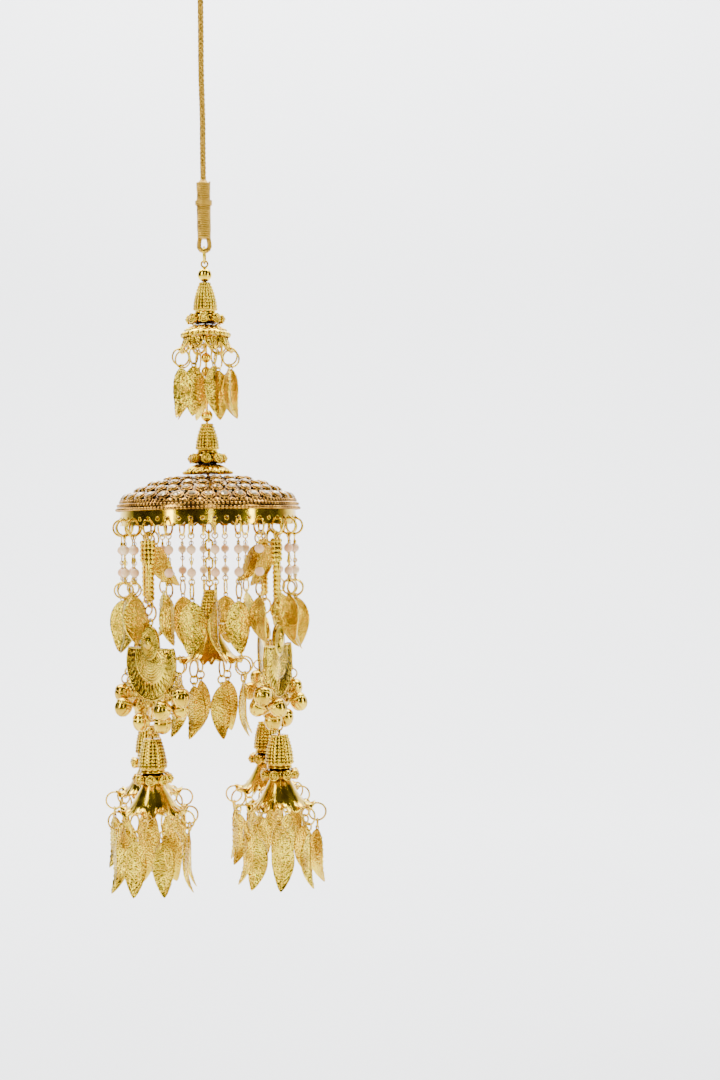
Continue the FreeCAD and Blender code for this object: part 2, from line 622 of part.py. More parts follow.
def make_dome():
    """The hollow dome with its ring of stone cups, and the scalloped rim band inside its edge."""
    shell = turned("dome_shell", (cell("bore_r"), 0.0), [
        ((8.0, -0.15),),
        ((20.0, -2.9), (cell("dome_r", 1.0, -3.3), -7.6)),
        ((cell("dome_r", 1.0, -0.7), -9.6), (cell("dome_r"), -12.2)),
        ((cell("dome_r", 1.0, -1.2), -12.2),),
        ((cell("dome_r", 1.0, -1.85), -10.2), (cell("dome_r", 1.0, -4.3), -8.5)),
        ((19.6, -4.2), (8.0, -1.4)),
        ((cell("bore_r"), -1.3),),
    ])
    shell.Placement = Place(Vec(0, 0, DOME_Z), FreeCAD.Rotation())
    cup = primitive("Cylinder", "bezel", Radius="Sizes.bezel_r", Height="Sizes.bezel_tall")
    lean = turn_about(Vec(1, 0, 0), -BEZEL_TILT)
    cups = []
    for number in range(MAIN_STONES):
        place = spot(360.0 * number / MAIN_STONES, BEZEL_RADIUS, BEZEL_Z).multiply(lean)
        place = place.multiply(Place(Vec(0, 0, -1.4), FreeCAD.Rotation()))
        cups.append(linked(f"bezel_{number}", cup, place))
    keep("dome", fused("dome_joined", [shell] + cups))

    band = turned("band_body", (cell("band_r", 1.0, -size("band_wall")), 0.0), [
        ((cell("band_r"), 0.0),),
        ((cell("band_r"), cell("band_tall", -1.0)),),
        ((cell("band_r", 1.0, -size("band_wall")), cell("band_tall", -1.0)),),
    ])
    reach = 3.0
    lay = turn_about(Vec(1, 0, 0), 90.0, Vec(0, reach / 2.0, 0))
    drill = primitive("Cylinder", "band_drill", lay, Radius="Sizes.band_hole_r", Height=f"{reach}")
    corner = Vec(0, -reach / 2.0, -size("notch_side") / math.sqrt(2.0))
    notch = primitive("Box", "band_notch", turn_about(Vec(0, 1, 0), -45.0, corner),
                      Length="Sizes.notch_side", Width=f"{reach}", Height="Sizes.notch_side")
    tools = []
    middle_r = size("band_r") - size("band_wall") / 2.0
    for number in range(SCALLOPS):
        azimuth = 360.0 * number / SCALLOPS
        tools.append(linked(f"hole_{number}", drill, spot(azimuth, middle_r, HOLE_Z - BAND_Z)))
        between_holes = spot(azimuth + 180.0 / SCALLOPS, middle_r, -size("band_tall"))
        tools.append(linked(f"notch_{number}", notch, between_holes))
    cutters = doc.addObject("Part::Compound", "band_cutters")
    cutters.Links = tools
    scalloped = doc.addObject("Part::Cut", "scalloped_band")
    scalloped.Base = band
    scalloped.Tool = cutters
    scalloped.Placement = turn_about(Vec(0, 0, 1), FIRST_CORNER, Vec(0, 0, BAND_Z))
    keep("rim_band", scalloped)


def is_corner(number):
    """Whether a hanging place, counted from the first corner, carries a corner strand."""
    return number % (STRANDS // 4) == 0


def make_strands():
    """Rim rings, pearl strands and their leaves, hung round the rim band."""
    hang_radius = size("band_r") - size("band_wall") / 2.0
    ring_z = HOLE_Z - size("link_r")
    ring = wire_ring("rim_ring", "link_r", "link_wire_r", "X", Vec(0, 0, 0))
    eye_z = ring_z - size("link_r") + size("link_wire_r") + GAP + size("pearl_wire_r") - size("pearl_eye_r")
    low_eye_z = PEARLS_Z[1] - size("pearl_r") - 0.66 - size("pearl_eye_r")
    eye = wire_ring("pearl_eye", "pearl_eye_r", "pearl_wire_r", "Y", Vec(0, 0, eye_z))
    low_eye = wire_ring("pearl_low_eye", "pearl_eye_r", "pearl_wire_r", "Y", Vec(0, 0, low_eye_z))
    shaft = rod("pearl_shaft", "pearl_wire_r", eye_z - size("pearl_eye_r"), low_eye_z + size("pearl_eye_r"))
    wire = fused("pearl_wire", [eye, shaft, low_eye])
    bead = primitive("Sphere", "pearl_solid", Radius="Sizes.pearl_r")
    pearl = drilled("pearl", bead, "pearl_bore_r")
    top_wire_z = low_eye_z - size("pearl_eye_r") + size("pearl_wire_r") + GAP + size("ring_wire_r")
    long_leaf = leaf_drop("long_leaf", "pearl_leaf_tall", "pearl_leaf_wide", "drop_ring_r", LEAF_NECK, 8.0)
    edge_leaf = leaf_drop("edge_leaf", "pearl_leaf_tall", "pearl_leaf_wide", "drop_ring_r", LEAF_NECK, 75.0)
    short_leaf = leaf_drop("short_leaf", "short_leaf_tall", "short_leaf_wide", "short_ring_r",
                           SHORT_NECK, 90.0)
    choices = {1: (short_leaf, "short_ring_r"), 2: (long_leaf, "drop_ring_r"), 3: (edge_leaf, "drop_ring_r"),
               4: (long_leaf, "drop_ring_r"), 5: (short_leaf, "short_ring_r")}

    rings, wires, pearls, leaves = [], [], [], []
    for number in range(STRANDS):
        azimuth = FIRST_CORNER + number * STRAND_STEP
        rings.append((ring, spot(azimuth, hang_radius, ring_z)))
        if is_corner(number):
            continue
        wires.append((wire, spot(azimuth, hang_radius, 0.0)))
        for height in PEARLS_Z:
            pearls.append((pearl, spot(azimuth, hang_radius, height)))
        leaf, leaf_ring = choices[number % (STRANDS // 4)]
        leaves.append((leaf, spot(azimuth, hang_radius, top_wire_z - size(leaf_ring))))
    copies("rim_rings", rings)
    copies("pearl_wires", wires)
    copies("pearls", pearls)
    copies("pearl_leaf_drops", leaves)

    cap_leaf = leaf_drop("cap_leaf", "cap_leaf_tall", "cap_leaf_wide", "cap_ring_r", LEAF_NECK, 42.0)
    hole_z = CAP_Z - 8.6
    placed = []
    for number in range(PETALS):
        azimuth = 90.0 + 180.0 / PETALS + number * 360.0 / PETALS
        placed.append((cap_leaf, spot(azimuth, 9.45, hole_z - size("cap_ring_r"))))
    copies("top_leaf_drops", placed)


def bead_bar(top, bottom):
    """A flat bar of granules with an eye at each end, on the local axis."""
    rows = 13
    wide_rows = 5
    pitch = (top - bottom - 2.0 * size("granule_r")) / (rows - 1)
    granule = primitive("Sphere", "granule", Radius="Sizes.granule_r")
    pieces = []
    for row in range(rows):
        height = top - size("granule_r") - row * pitch
        offsets = (-1.75, 0.0, 1.75) if row < wide_rows else (-0.9, 0.9)
        for across in offsets:
            place = Place(Vec(across, 0, height), FreeCAD.Rotation())
            pieces.append(linked(f"granule_{len(pieces)}", granule, place))
    core = primitive("Box", "bar_core_solid", Place(Vec(-0.9, -size("bar_core") / 2.0, bottom + 0.3),
                                                    FreeCAD.Rotation()),
                     Length="1.8", Width="Sizes.bar_core", Height=f"{top - bottom - 0.6}")
    return pieces + [core]


def bell():
    """A hollow slotted bell on its neck and ring. The origin is where its ring passes its loop."""
    ring_centre = -0.35 - size("bell_ring_r")
    top = ring_centre - size("bell_ring_r") - 0.5
    shell = turned("bell_shell", (0.0, 0.0), [
        ((1.2, -0.1),),
        ((2.6, -0.9), (cell("bell_r"), -2.1)),
        ((cell("bell_r", 1.0, -0.15), -4.6), (1.7, -6.6)),
        ((0.0, -6.8),),
        ((0.0, -6.3),),
        ((1.4, -6.1),),
        ((cell("bell_r", 1.0, -0.67), -4.4), (cell("bell_r", 1.0, -0.5), -2.2)),
        ((2.1, -1.3), (1.0, -0.6)),
        ((0.0, -0.6),),
    ])
    slot = ((cell("bell_slot", 0.5), -4.0), [((cell("bell_slot", 0.5), -8.0),),
                                             ((cell("bell_slot", -0.5), -8.0),),
                                             ((cell("bell_slot", -0.5), -4.0),)])
    pierced(shell, "bell_slots", "XZ_Plane", [slot], 2)
    shell.Placement = Place(Vec(0, 0, top), FreeCAD.Rotation())
    neck = rod("bell_neck", "stem_r", ring_centre - size("bell_ring_r"), top - 0.3)
    loop = wire_ring("bell_loop", "bell_ring_r", "bell_wire_r", "X", Vec(0, 0, ring_centre))
    return fused("bell", [shell, neck, loop])


def pendant_plate(ring_foot):
    """The plate with its rim, medallion, top eye and loops. The origin is the pendant's pivot."""
    eye_z = ring_foot + size("ring_wire_r") + GAP + size("small_wire_r") - size("small_eye_r")
    medallion_z = eye_z - size("small_eye_r") - size("medallion_tall") / 2.0
    flat_z = medallion_z - size("medallion_tall") / 2.0 + 4.4
    centre_z = flat_z - size("disc_cut")
    half_top = math.sqrt(size("disc_r") ** 2 - size("disc_cut") ** 2)
    corner = (half_top, "sqrt(Sizes.disc_r^2 - Sizes.disc_cut^2)")
    body = doc.addObject("PartDesign::Body", "plate_body")
    outline = new_sketch(body, "plate_outline", "XZ_Plane")
    opposite = (-half_top, "-sqrt(Sizes.disc_r^2 - Sizes.disc_cut^2)")
    draw_loop(outline, (opposite, cell("disc_cut")), [
        ((0.0, cell("disc_r", -1.0)), (corner, cell("disc_cut"))),
        ((opposite, cell("disc_cut")),),
    ])
    sheet_metal = body.newObject("PartDesign::Pad", "plate_pad")
    sheet_metal.Profile = outline
    sheet_metal.setExpression("Length", "Sizes.disc_wall")
    sheet_metal.Midplane = True
    body.Placement = Place(Vec(0, 0, centre_z), FreeCAD.Rotation())
    doc.recompute()

    rim = doc.addObject("Part::Cut", "plate_rim_round")
    lay = turn_about(Vec(1, 0, 0), 90.0, Vec(0, size("disc_rim_wall") / 2.0, centre_z))
    rim.Base = primitive("Cylinder", "rim_outer", lay, Radius="Sizes.disc_r", Height="Sizes.disc_rim_wall")
    rim.Tool = primitive("Cylinder", "rim_inner", lay, Radius="Sizes.disc_r - Sizes.disc_rim_wide",
                         Height="Sizes.disc_rim_wall")
    above = primitive("Box", "rim_above", Place(Vec(-20, -5, flat_z), FreeCAD.Rotation()),
                      Length="40", Width="10", Height="20")
    curved_rim = doc.addObject("Part::Cut", "plate_rim")
    curved_rim.Base, curved_rim.Tool = rim, above
    flat_rim = primitive("Box", "plate_flat_rim",
                         Place(Vec(-half_top, -size("disc_rim_wall") / 2.0, flat_z - size("disc_rim_wide")),
                               FreeCAD.Rotation()),
                         Length="2 * sqrt(Sizes.disc_r^2 - Sizes.disc_cut^2)", Width="Sizes.disc_rim_wall",
                         Height="Sizes.disc_rim_wide")
    medallion = primitive("Ellipsoid", "medallion", Place(Vec(0, 0, medallion_z), FreeCAD.Rotation()),
                          Radius1="Sizes.medallion_tall / 2", Radius2="Sizes.medallion_wide / 2",
                          Radius3="Sizes.medallion_deep / 2")
    boss = primitive("Sphere", "medallion_boss", Place(Vec(0, 0.2, medallion_z), FreeCAD.Rotation()),
                     Radius="2.1")
    eye = wire_ring("plate_eye", "small_eye_r", "small_wire_r", "Y", Vec(0, 0, eye_z))
    loops = []
    loop = wire_ring("plate_loop", "loop_r", "small_wire_r", "Y", Vec(0, 0, 0))
    for number in range(LOOPS):
        place = loop_place(number - LOOPS // 2, centre_z)
        loops.append(linked(f"plate_loop_{number}", loop, place))
    return fused("plate", [body, curved_rim, flat_rim, medallion, boss, eye] + loops), centre_z


def loop_place(step, centre_z):
    """Where one of the plate's loops sits, counted in steps from the lowest one."""
    angle = math.radians(step * BELL_LOOP_STEP)
    radius = size("disc_r") + 0.85
    return Place(Vec(radius * math.sin(angle), 0, centre_z - radius * math.cos(angle)), FreeCAD.Rotation())


def pinned_cone(name, prefix, eye_z, facing, wire_shows):
    """A cone bead on its pin, whose eye is above it and whose ball end holds the flower bell.

    Gives the joined solid and the heights of the rosette and the flower bell that it carries.
    """
    cone_z = eye_z - size("small_eye_r") - wire_shows
    cone_foot = cone_z - size(f"{prefix}_tall")
    rosette_z = cone_foot - GAP - size("rosette_core_tall") / 2.0 - ROSETTE_DROP
    flower_z = rosette_z - size("rosette_core_tall") / 2.0 - SEAT
    cone = cone_bead(f"{name}_body", f"{prefix}_top_r", f"{prefix}_wide_r", f"{prefix}_tall")
    cone.Placement = Place(Vec(0, 0, cone_z), FreeCAD.Rotation())
    eye = wire_ring(f"{name}_eye", "small_eye_r", "small_wire_r", facing, Vec(0, 0, eye_z))
    pin = rod(f"{name}_pin", "stem_r", eye_z - size("small_eye_r"), flower_z - PIN_PAST_NECK)
    pin_end = primitive("Sphere", f"{name}_pin_end",
                        Place(Vec(0, 0, flower_z - PIN_PAST_NECK - SEAT), FreeCAD.Rotation()),
                        Radius=f"{PIN_END_R}")
    solder = rod(f"{name}_solder", "bore_r", cone_z - 0.5, cone_foot + 0.5)
    return fused(f"{name}_pinned", [cone, pin, eye, pin_end, solder]), rosette_z, flower_z


def make_corners():
    """Bead bars, pendants with bells and lower drops at the four corners of the rim."""
    hang_radius = size("band_r") - size("band_wall") / 2.0
    ring_z = HOLE_Z - size("link_r")
    rim_strand = ring_z - size("link_r")
    high_eye_z = rim_strand + size("link_wire_r") + GAP + size("small_wire_r") - size("small_eye_r")
    bar_top = high_eye_z - size("small_eye_r")
    bar_bottom = bar_top - 21.1
    low_eye_z = bar_bottom - size("small_eye_r") + 0.1
    pivot_z = low_eye_z - size("small_eye_r")
    bar = fused("bead_bar", bead_bar(bar_top, bar_bottom) + [
        wire_ring("bar_high_eye", "small_eye_r", "small_wire_r", "Y", Vec(0, 0, high_eye_z)),
        wire_ring("bar_low_eye", "small_eye_r", "small_wire_r", "Y", Vec(0, 0, low_eye_z))])
    side_leaf = leaf_drop("side_leaf", "bar_leaf_tall", "bar_leaf_wide", "bar_ring_r", LEAF_NECK, 90.0)

    ring_top = size("small_wire_r") + GAP + size("ring_wire_r")
    ring = wire_ring("hanging_ring", "drop_ring_r", "ring_wire_r", "X",
                     Vec(0, 0, ring_top - size("drop_ring_r")))
    ring_foot = ring_top - 2.0 * size("drop_ring_r")
    plate, centre_z = pendant_plate(ring_foot)
    ringing = bell()

    drop_z = loop_place(0, centre_z).Base.z - size("loop_r")
    second_top = ring_foot + size("ring_wire_r") + size("small_wire_r") + GAP
    second_z = second_top - size("small_link_r")
    second = wire_ring("second_ring", "small_link_r", "small_wire_r", "Y", Vec(0, 0, second_z))
    pin_eye_z = second_z - size("small_link_r") + 2.0 * size("small_wire_r") + GAP - size("small_eye_r")
    corner_cone, rosette_z, flower_z = pinned_cone("corner_cone", "drop_cone", pin_eye_z, "X", 1.5)
    fringe_leaf = leaf_drop("fringe_leaf", "flower_leaf_tall", "flower_leaf_wide", "flower_ring_r",
                            FLOWER_NECK, 10.0)

    bars, side_leaves = [], []
    side_r = hang_radius - 1.57
    side_ring_z = ring_z - 1.32 - size("bar_ring_r")
    side_lean = Place(Vec(0, 0, 0), FreeCAD.Rotation(Vec(0, 1, 0), SIDE_LEAF_LEAN),
                      Vec(0, 0, size("bar_ring_r")))
    for corner, bar_turn, plate_turn in CORNERS:
        azimuth = FIRST_CORNER + CORNER_AZIMUTH[corner]
        bars.append((bar, spot(azimuth, hang_radius, 0.0, bar_turn)))
        side_place = spot(azimuth, side_r, side_ring_z, 90.0).multiply(side_lean)
        side_place = side_place.multiply(turn_about(Vec(1, 0, 0), SIDE_LEAF_SWING[corner]))
        side_leaves.append((side_leaf, side_place))
        hang = spot(azimuth, hang_radius, pivot_z, bar_turn)
        facing = spot(azimuth, hang_radius, pivot_z, bar_turn + plate_turn)
        keep(f"pendant_ring_{corner}", linked(f"pendant_ring_{corner}", ring, hang))
        keep(f"pendant_{corner}", linked(f"pendant_{corner}", plate, facing))
        bells = []
        for sign in (-1, 1):
            for step, lean, spread in BELL_PLACES:
                place = facing.multiply(loop_place(sign * step, centre_z))
                shift = Vec(0, 0, 0)
                if lean:
                    shift = Vec(math.copysign(PAIR_ASIDE, lean), 0, PAIR_LIFT)
                place = place.multiply(turn_about(Vec(1, 0, 0), lean, shift))
                place = place.multiply(turn_about(Vec(0, 1, 0), -sign * spread))
                bells.append((ringing, place))
        copies(f"pendant_bells_{corner}", bells)

        below = facing.multiply(Place(Vec(0, 0, drop_z), FreeCAD.Rotation()))
        pair = [(ring, below), (second, below)]
        copies(f"drop_links_{corner}", pair)
        keep(f"drop_cone_{corner}", linked(f"drop_cone_{corner}", corner_cone, below))
        stone_ring = below.multiply(Place(Vec(0, 0, rosette_z), FreeCAD.Rotation()))
        keep(f"drop_rosette_{corner}", linked(f"drop_rosette_{corner}", rosette_master, stone_ring))
        bloom = below.multiply(Place(Vec(0, 0, flower_z), FreeCAD.Rotation()))
        print(f"drop_flower_{corner}: neck top {bloom.Base.z:.3f}")
        keep(f"drop_flower_{corner}", linked(f"drop_flower_{corner}", flower_master, bloom))
        fringe(f"drop_leaf_drops_{corner}", fringe_leaf, bloom, 90.0 / PETALS * 2.0)
        print(f"pendant_swing_{corner}: origin {hang.Base}, axis {hang.Rotation.multVec(Vec(1, 0, 0))}")
        print(f"lower_drop_swing_{corner}: origin {below.Base}, axis {below.Rotation.multVec(Vec(1, 0, 0))}")
    copies("bead_bars", bars)
    copies("bar_leaf_drops", side_leaves)
    return fringe_leaf


def make_centre(fringe_leaf):
    """The link chain inside the dome, and the middle drop below it."""
    links = []
    strand = STEM_FOOT_Z - size("small_eye_r") + size("small_wire_r") + GAP + size("chain_wire_r")
    facings = ("X", "Y")
    link = oval_link("chain_link", "chain_link_r", "chain_wire_r", "chain_link_tall")
    for number in range(CHAIN_LINKS):
        centre = strand - size("chain_link_tall") / 2.0
        spin = 90.0 if facings[number % 2] == "X" else 0.0
        links.append(linked(f"chain_{number}", link, turn_about(Vec(0, 0, 1), spin, Vec(0, 0, centre))))
        strand = centre - size("chain_link_tall") / 2.0 + 2.0 * size("chain_wire_r") + GAP
    field("centre_chain", links)
    pivot = strand - 2.0 * size("chain_wire_r") - GAP
    print(f"centre_drop_swing: pivot {pivot:.3f}")
    ring_z = strand - size("centre_ring_r")
    keep("centre_ring", wire_ring("centre_ring_solid", "centre_ring_r", "chain_wire_r",
                                  facings[CHAIN_LINKS % 2], Vec(0, 0, ring_z)))
    ring_strand = ring_z - size("centre_ring_r")
    eye_z = ring_strand + size("chain_wire_r") + GAP + size("small_wire_r") - size("small_eye_r")
    middle_cone, rosette_z, flower_z = pinned_cone("middle_cone", "centre_cone", eye_z,
                                                   facings[(CHAIN_LINKS + 1) % 2], 1.2)
    print(f"centre_flower: neck top {flower_z:.3f}")
    keep("centre_cone", middle_cone)
    keep("centre_rosette", linked("centre_rosette", rosette_master,
                                  Place(Vec(0, 0, rosette_z), FreeCAD.Rotation())))
    bloom = Place(Vec(0, 0, flower_z), FreeCAD.Rotation())
    keep("centre_flower", linked("centre_flower", flower_master, bloom))
    fringe("centre_leaf_drops", fringe_leaf, bloom, 180.0 / PETALS)


make_cord()
make_top()
make_cap()
rosette_master = rosette("rosette")
for rosette_name, height in (("top_rosette", TOP_ROSETTE_Z), ("crown_rosette", CROWN_ROSETTE_Z)):
    keep(rosette_name, linked(rosette_name, rosette_master, Place(Vec(0, 0, height), FreeCAD.Rotation())))
flower_master = flower("flower")
make_dome()
make_strands()
make_centre(make_corners())
doc.recompute()

for item in doc.Objects:
    if "Invalid" in item.State or "Error" in item.State:
        raise RuntimeError(f"{item.Label} did not recompute: {item.State}")

os.makedirs("parts", exist_ok=True)
loose = 0
for node in nodes:
    shape = Part.getShape(node)
    if shape.isNull() or not shape.isValid():
        raise RuntimeError(f"{node.Label} has no valid shape")
    loose += len(shape.Solids)
    shape.exportStep(f"parts/{node.Label}.step")
    box = shape.BoundBox
    print(f"{node.Label}: {len(shape.Solids)} solids, {shape.Volume:.1f} mm3, "
          f"z {box.ZMin:.1f} to {box.ZMax:.1f}")
print(f"{len(nodes)} nodes, {loose} solids in all")
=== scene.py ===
"""Kalire bridal ornament: a gold cord, a jewelled dome, pearl strands, pendants and flower bells.

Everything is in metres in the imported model's own frame. Sizes are written in millimetres times MM.
"""

import json
import logging
import math
import random
from dataclasses import dataclass, field
from enum import Enum
from typing import Callable, Iterable, Sequence

import bmesh
import bpy
import numpy as np
from mathutils import Matrix, Vector


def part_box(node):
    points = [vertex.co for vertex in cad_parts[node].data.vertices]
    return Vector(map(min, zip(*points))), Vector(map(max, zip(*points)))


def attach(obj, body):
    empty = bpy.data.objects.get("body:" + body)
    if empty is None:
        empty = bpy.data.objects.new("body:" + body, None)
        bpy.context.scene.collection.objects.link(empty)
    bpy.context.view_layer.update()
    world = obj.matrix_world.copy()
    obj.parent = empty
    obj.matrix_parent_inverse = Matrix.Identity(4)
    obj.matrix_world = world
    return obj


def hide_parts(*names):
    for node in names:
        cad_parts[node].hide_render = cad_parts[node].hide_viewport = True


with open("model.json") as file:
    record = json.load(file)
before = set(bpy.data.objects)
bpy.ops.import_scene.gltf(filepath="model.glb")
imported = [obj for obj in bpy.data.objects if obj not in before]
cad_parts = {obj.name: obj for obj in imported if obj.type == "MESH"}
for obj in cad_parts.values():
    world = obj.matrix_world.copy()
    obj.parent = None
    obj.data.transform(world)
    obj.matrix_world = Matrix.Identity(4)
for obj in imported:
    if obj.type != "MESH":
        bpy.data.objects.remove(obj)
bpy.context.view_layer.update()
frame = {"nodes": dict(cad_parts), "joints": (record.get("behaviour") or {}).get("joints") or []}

MM = 0.001
UP = Vector((0.0, 0.0, 1.0))
SEED = 11
EYE_RADIUS = 1.15 * MM
EYE_WIRE = 0.35 * MM
STEM_BORE = 0.58 * MM
log = logging.getLogger("kalire")

Point = tuple[float, float, float]
Colour = tuple[float, float, float]


class Slot(Enum):
    """The record's material slots."""

    POLISHED = "polished_gold"
    SATIN = "satin_gold"
    ANTIQUE = "antique_gold"
    CORD = "gold_cord"
    PEARL = "pearl"
    STONE = "clear_stone"


class Shade(Enum):
    """How the faces of a piece meet in the light."""

    SMOOTH = True
    FACETED = False


class Shape:
    """A growing mesh of points in metres and faces."""

    def __init__(self) -> None:
        """Start with nothing."""
        self.blocks: list[np.ndarray] = []
        self.faces: list[tuple[int, ...]] = []
        self.count = 0

    def add(self, points: Iterable[Sequence[float]], faces: Iterable[Sequence[int]]) -> "Shape":
        """Add points and the faces between them.

        Args:
            points: Places in metres.
            faces: Corners of each face, counted within these points.

        Returns:
            This shape.
        """
        block = np.array(list(points), float).reshape(-1, 3)
        self.faces.extend(tuple(corner + self.count for corner in face) for face in faces)
        self.blocks.append(block)
        self.count += len(block)
        return self

    def points(self) -> np.ndarray:
        """All points as one array."""
        return np.concatenate(self.blocks) if self.blocks else np.zeros((0, 3))

    def put(self, other: "Shape", place: Matrix | None = None) -> "Shape":
        """Add another shape, moved.

        Args:
            other: The shape to add.
            place: Where it goes, or nothing to leave it where it is.

        Returns:
            This shape.
        """
        points = other.points()
        if place is not None:
            turn = np.array(place.to_3x3())
            points = points @ turn.T + np.array(place.translation)
        return self.add(points, other.faces)

    def mesh(self, name: str, shade: Shade = Shade.SMOOTH) -> bpy.types.Mesh:
        """Turn the shape into a clean mesh with outward faces.

        Args:
            name: The mesh's name.
            shade: Whether its faces are smooth.

        Returns:
            The mesh.
        """
        mesh = bpy.data.meshes.new(name)
        mesh.from_pydata(self.points().tolist(), [], self.faces)
        work = bmesh.new()
        work.from_mesh(mesh)
        bmesh.ops.remove_doubles(work, verts=work.verts, dist=0.0005 * MM)
        bmesh.ops.dissolve_degenerate(work, edges=work.edges, dist=0.0002 * MM)
        bmesh.ops.recalc_face_normals(work, faces=work.faces)
        work.to_mesh(mesh)
        work.free()
        mesh.polygons.foreach_set("use_smooth", [shade.value] * len(mesh.polygons))
        mesh.update()
        return mesh


def grid_faces(rows: int, columns: int, wrap_rows: bool, wrap_columns: bool) -> list[tuple[int, ...]]:
    """The four-cornered faces of a grid of points.

    Args:
        rows: How many rows of points.
        columns: How many points in a row.
        wrap_rows: Whether the last row joins the first.
        wrap_columns: Whether each row closes on itself.

    Returns:
        The faces.
    """
    faces = []
    for row in range(rows if wrap_rows else rows - 1):
        for column in range(columns if wrap_columns else columns - 1):
            next_row = (row + 1) % rows
            next_column = (column + 1) % columns
            faces.append((row * columns + column, row * columns + next_column,
                          next_row * columns + next_column, next_row * columns + column))
    return faces


def lathe(profile: Sequence[tuple[float, float]], sides: int, closed: bool = False,
          wave: Callable[[float, int], float] | None = None) -> Shape:
    """Turn a profile of (radius, height) pairs about Z.

    Args:
        profile: The outline in metres, which ends on the axis unless it is closed.
        sides: How many steps make the full turn.
        closed: Whether the outline joins its start, as a ring's does.
        wave: An addition to the radius from the angle and the profile's step.

    Returns:
        The turned shape.
    """
    points = []
    for step, (radius, height) in enumerate(profile):
        for side in range(sides):
            angle = 2.0 * math.pi * side / sides
            reach = radius + (wave(angle, step) if wave else 0.0)
            points.append((reach * math.cos(angle), reach * math.sin(angle), height))
    return Shape().add(points, grid_faces(len(profile), sides, closed, True))


def ring(radius: float, wire: float, around: int = 32, sides: int = 8) -> Shape:
    """A wire ring that lies flat in XY.

    Args:
        radius: From its middle to the wire's centre line.
        wire: The wire's radius.
        around: Steps round the ring.
        sides: Steps round the wire.

    Returns:
        The ring.
    """
    turns = [2.0 * math.pi * step / sides for step in range(sides)]
    return lathe([(radius + wire * math.cos(a), wire * math.sin(a)) for a in turns], around, True)


def ball(radius: float, around: int = 16, rows: int = 10) -> Shape:
    """A round ball."""
    turns = [math.pi * row / rows for row in range(rows + 1)]
    return lathe([(radius * math.sin(a), radius * math.cos(a)) for a in turns], around)


def tube(path: Sequence[Vector], wire: float | Sequence[float], sides: int = 8,
         closed: bool = False) -> Shape:
    """A round tube along a path, with closed ends.

    Args:
        path: The points of its centre line.
        wire: Its radius, or one at each point.
        sides: Steps round the tube.
        closed: Whether the path joins its start.

    Returns:
        The tube.
    """
    count = len(path)
    radii = [wire] * count if isinstance(wire, float) else list(wire)
    points = []
    side_way = None
    for step, here in enumerate(path):
        before = path[(step - 1) % count] if closed or step else path[0]
        after = path[(step + 1) % count] if closed or step < count - 1 else path[-1]
        way = (after - before).normalized()
        if side_way is None:
            side_way = way.orthogonal().normalized()
        side_way = (side_way - way * side_way.dot(way)).normalized()
        other_way = way.cross(side_way)
        for side in range(sides):
            angle = 2.0 * math.pi * side / sides
            points.append(here + radii[step] * (side_way * math.cos(angle) + other_way * math.sin(angle)))
    shape = Shape().add(points, grid_faces(count, sides, closed, True))
    if not closed:
        for ends, base in ((path[0], 0), (path[-1], (count - 1) * sides)):
            fan = [points[base + side] for side in range(sides)]
            shape.add(fan + [ends], [(side, (side + 1) % sides, sides) for side in range(sides)])
    return shape


def once_round(steps: int) -> np.ndarray:
    """Even angles once round, without the last."""
    return np.linspace(0.0, 2.0 * math.pi, steps, endpoint=False)


def pin(top: float, foot: float, wire: float, sides: int) -> Shape:
    """A straight pin down the axis from one height to another."""
    return tube([Vector((0.0, 0.0, top)), Vector((0.0, 0.0, foot))], wire, sides)


def eye_ring(height: float, facing: str) -> Shape:
    """An upright wire eye whose hole looks along X or Y."""
    upright = turn(90.0, "Y" if facing == "X" else "X")
    return Shape().put(ring(EYE_RADIUS, EYE_WIRE, 20, 8), at(0.0, 0.0, height) @ upright)


def at(x: float, y: float, z: float) -> Matrix:
    """A plain move, in metres."""
    return Matrix.Translation((x, y, z))


def turn(degrees: float, axis: str) -> Matrix:
    """A plain turn about X, Y or Z."""
    return Matrix.Rotation(math.radians(degrees), 4, axis)


def spot(azimuth: float, radius: float, height: float, spin: float = 0.0) -> Matrix:
    """A place round the axis, where local +Y points outwards before the spin.

    Args:
        azimuth: Its angle round the axis in degrees.
        radius: Its distance from the axis.
        height: Its height.
        spin: A further turn about the upright.

    Returns:
        The place.
    """
    angle = math.radians(azimuth)
    return at(radius * math.cos(angle), radius * math.sin(angle), height) @ turn(azimuth - 90.0 + spin, "Z")


def on_arc(start: tuple[float, float], via: tuple[float, float], end: tuple[float, float],
           steps: int) -> list[tuple[float, float]]:
    """Points on the circular arc through three points, without its end.

    Args:
        start: Where it starts.
        via: A point that it passes.
        end: Where it ends.
        steps: How many points to give.

    Returns:
        The points.
    """
    first, middle, last = (np.array(p, float) for p in (start, via, end))
    matrix = 2.0 * np.array([middle - first, last - first])
    centre = np.linalg.solve(matrix, [middle @ middle - first @ first, last @ last - first @ first])
    angles = [math.atan2(*(p - centre)[::-1]) for p in (first, middle, last)]
    unwrapped = np.unwrap(angles)
    radius = float(np.linalg.norm(first - centre))
    sweep = np.linspace(unwrapped[0], unwrapped[2], steps, endpoint=False)
    return [(centre[0] + radius * math.cos(a), centre[1] + radius * math.sin(a)) for a in sweep]


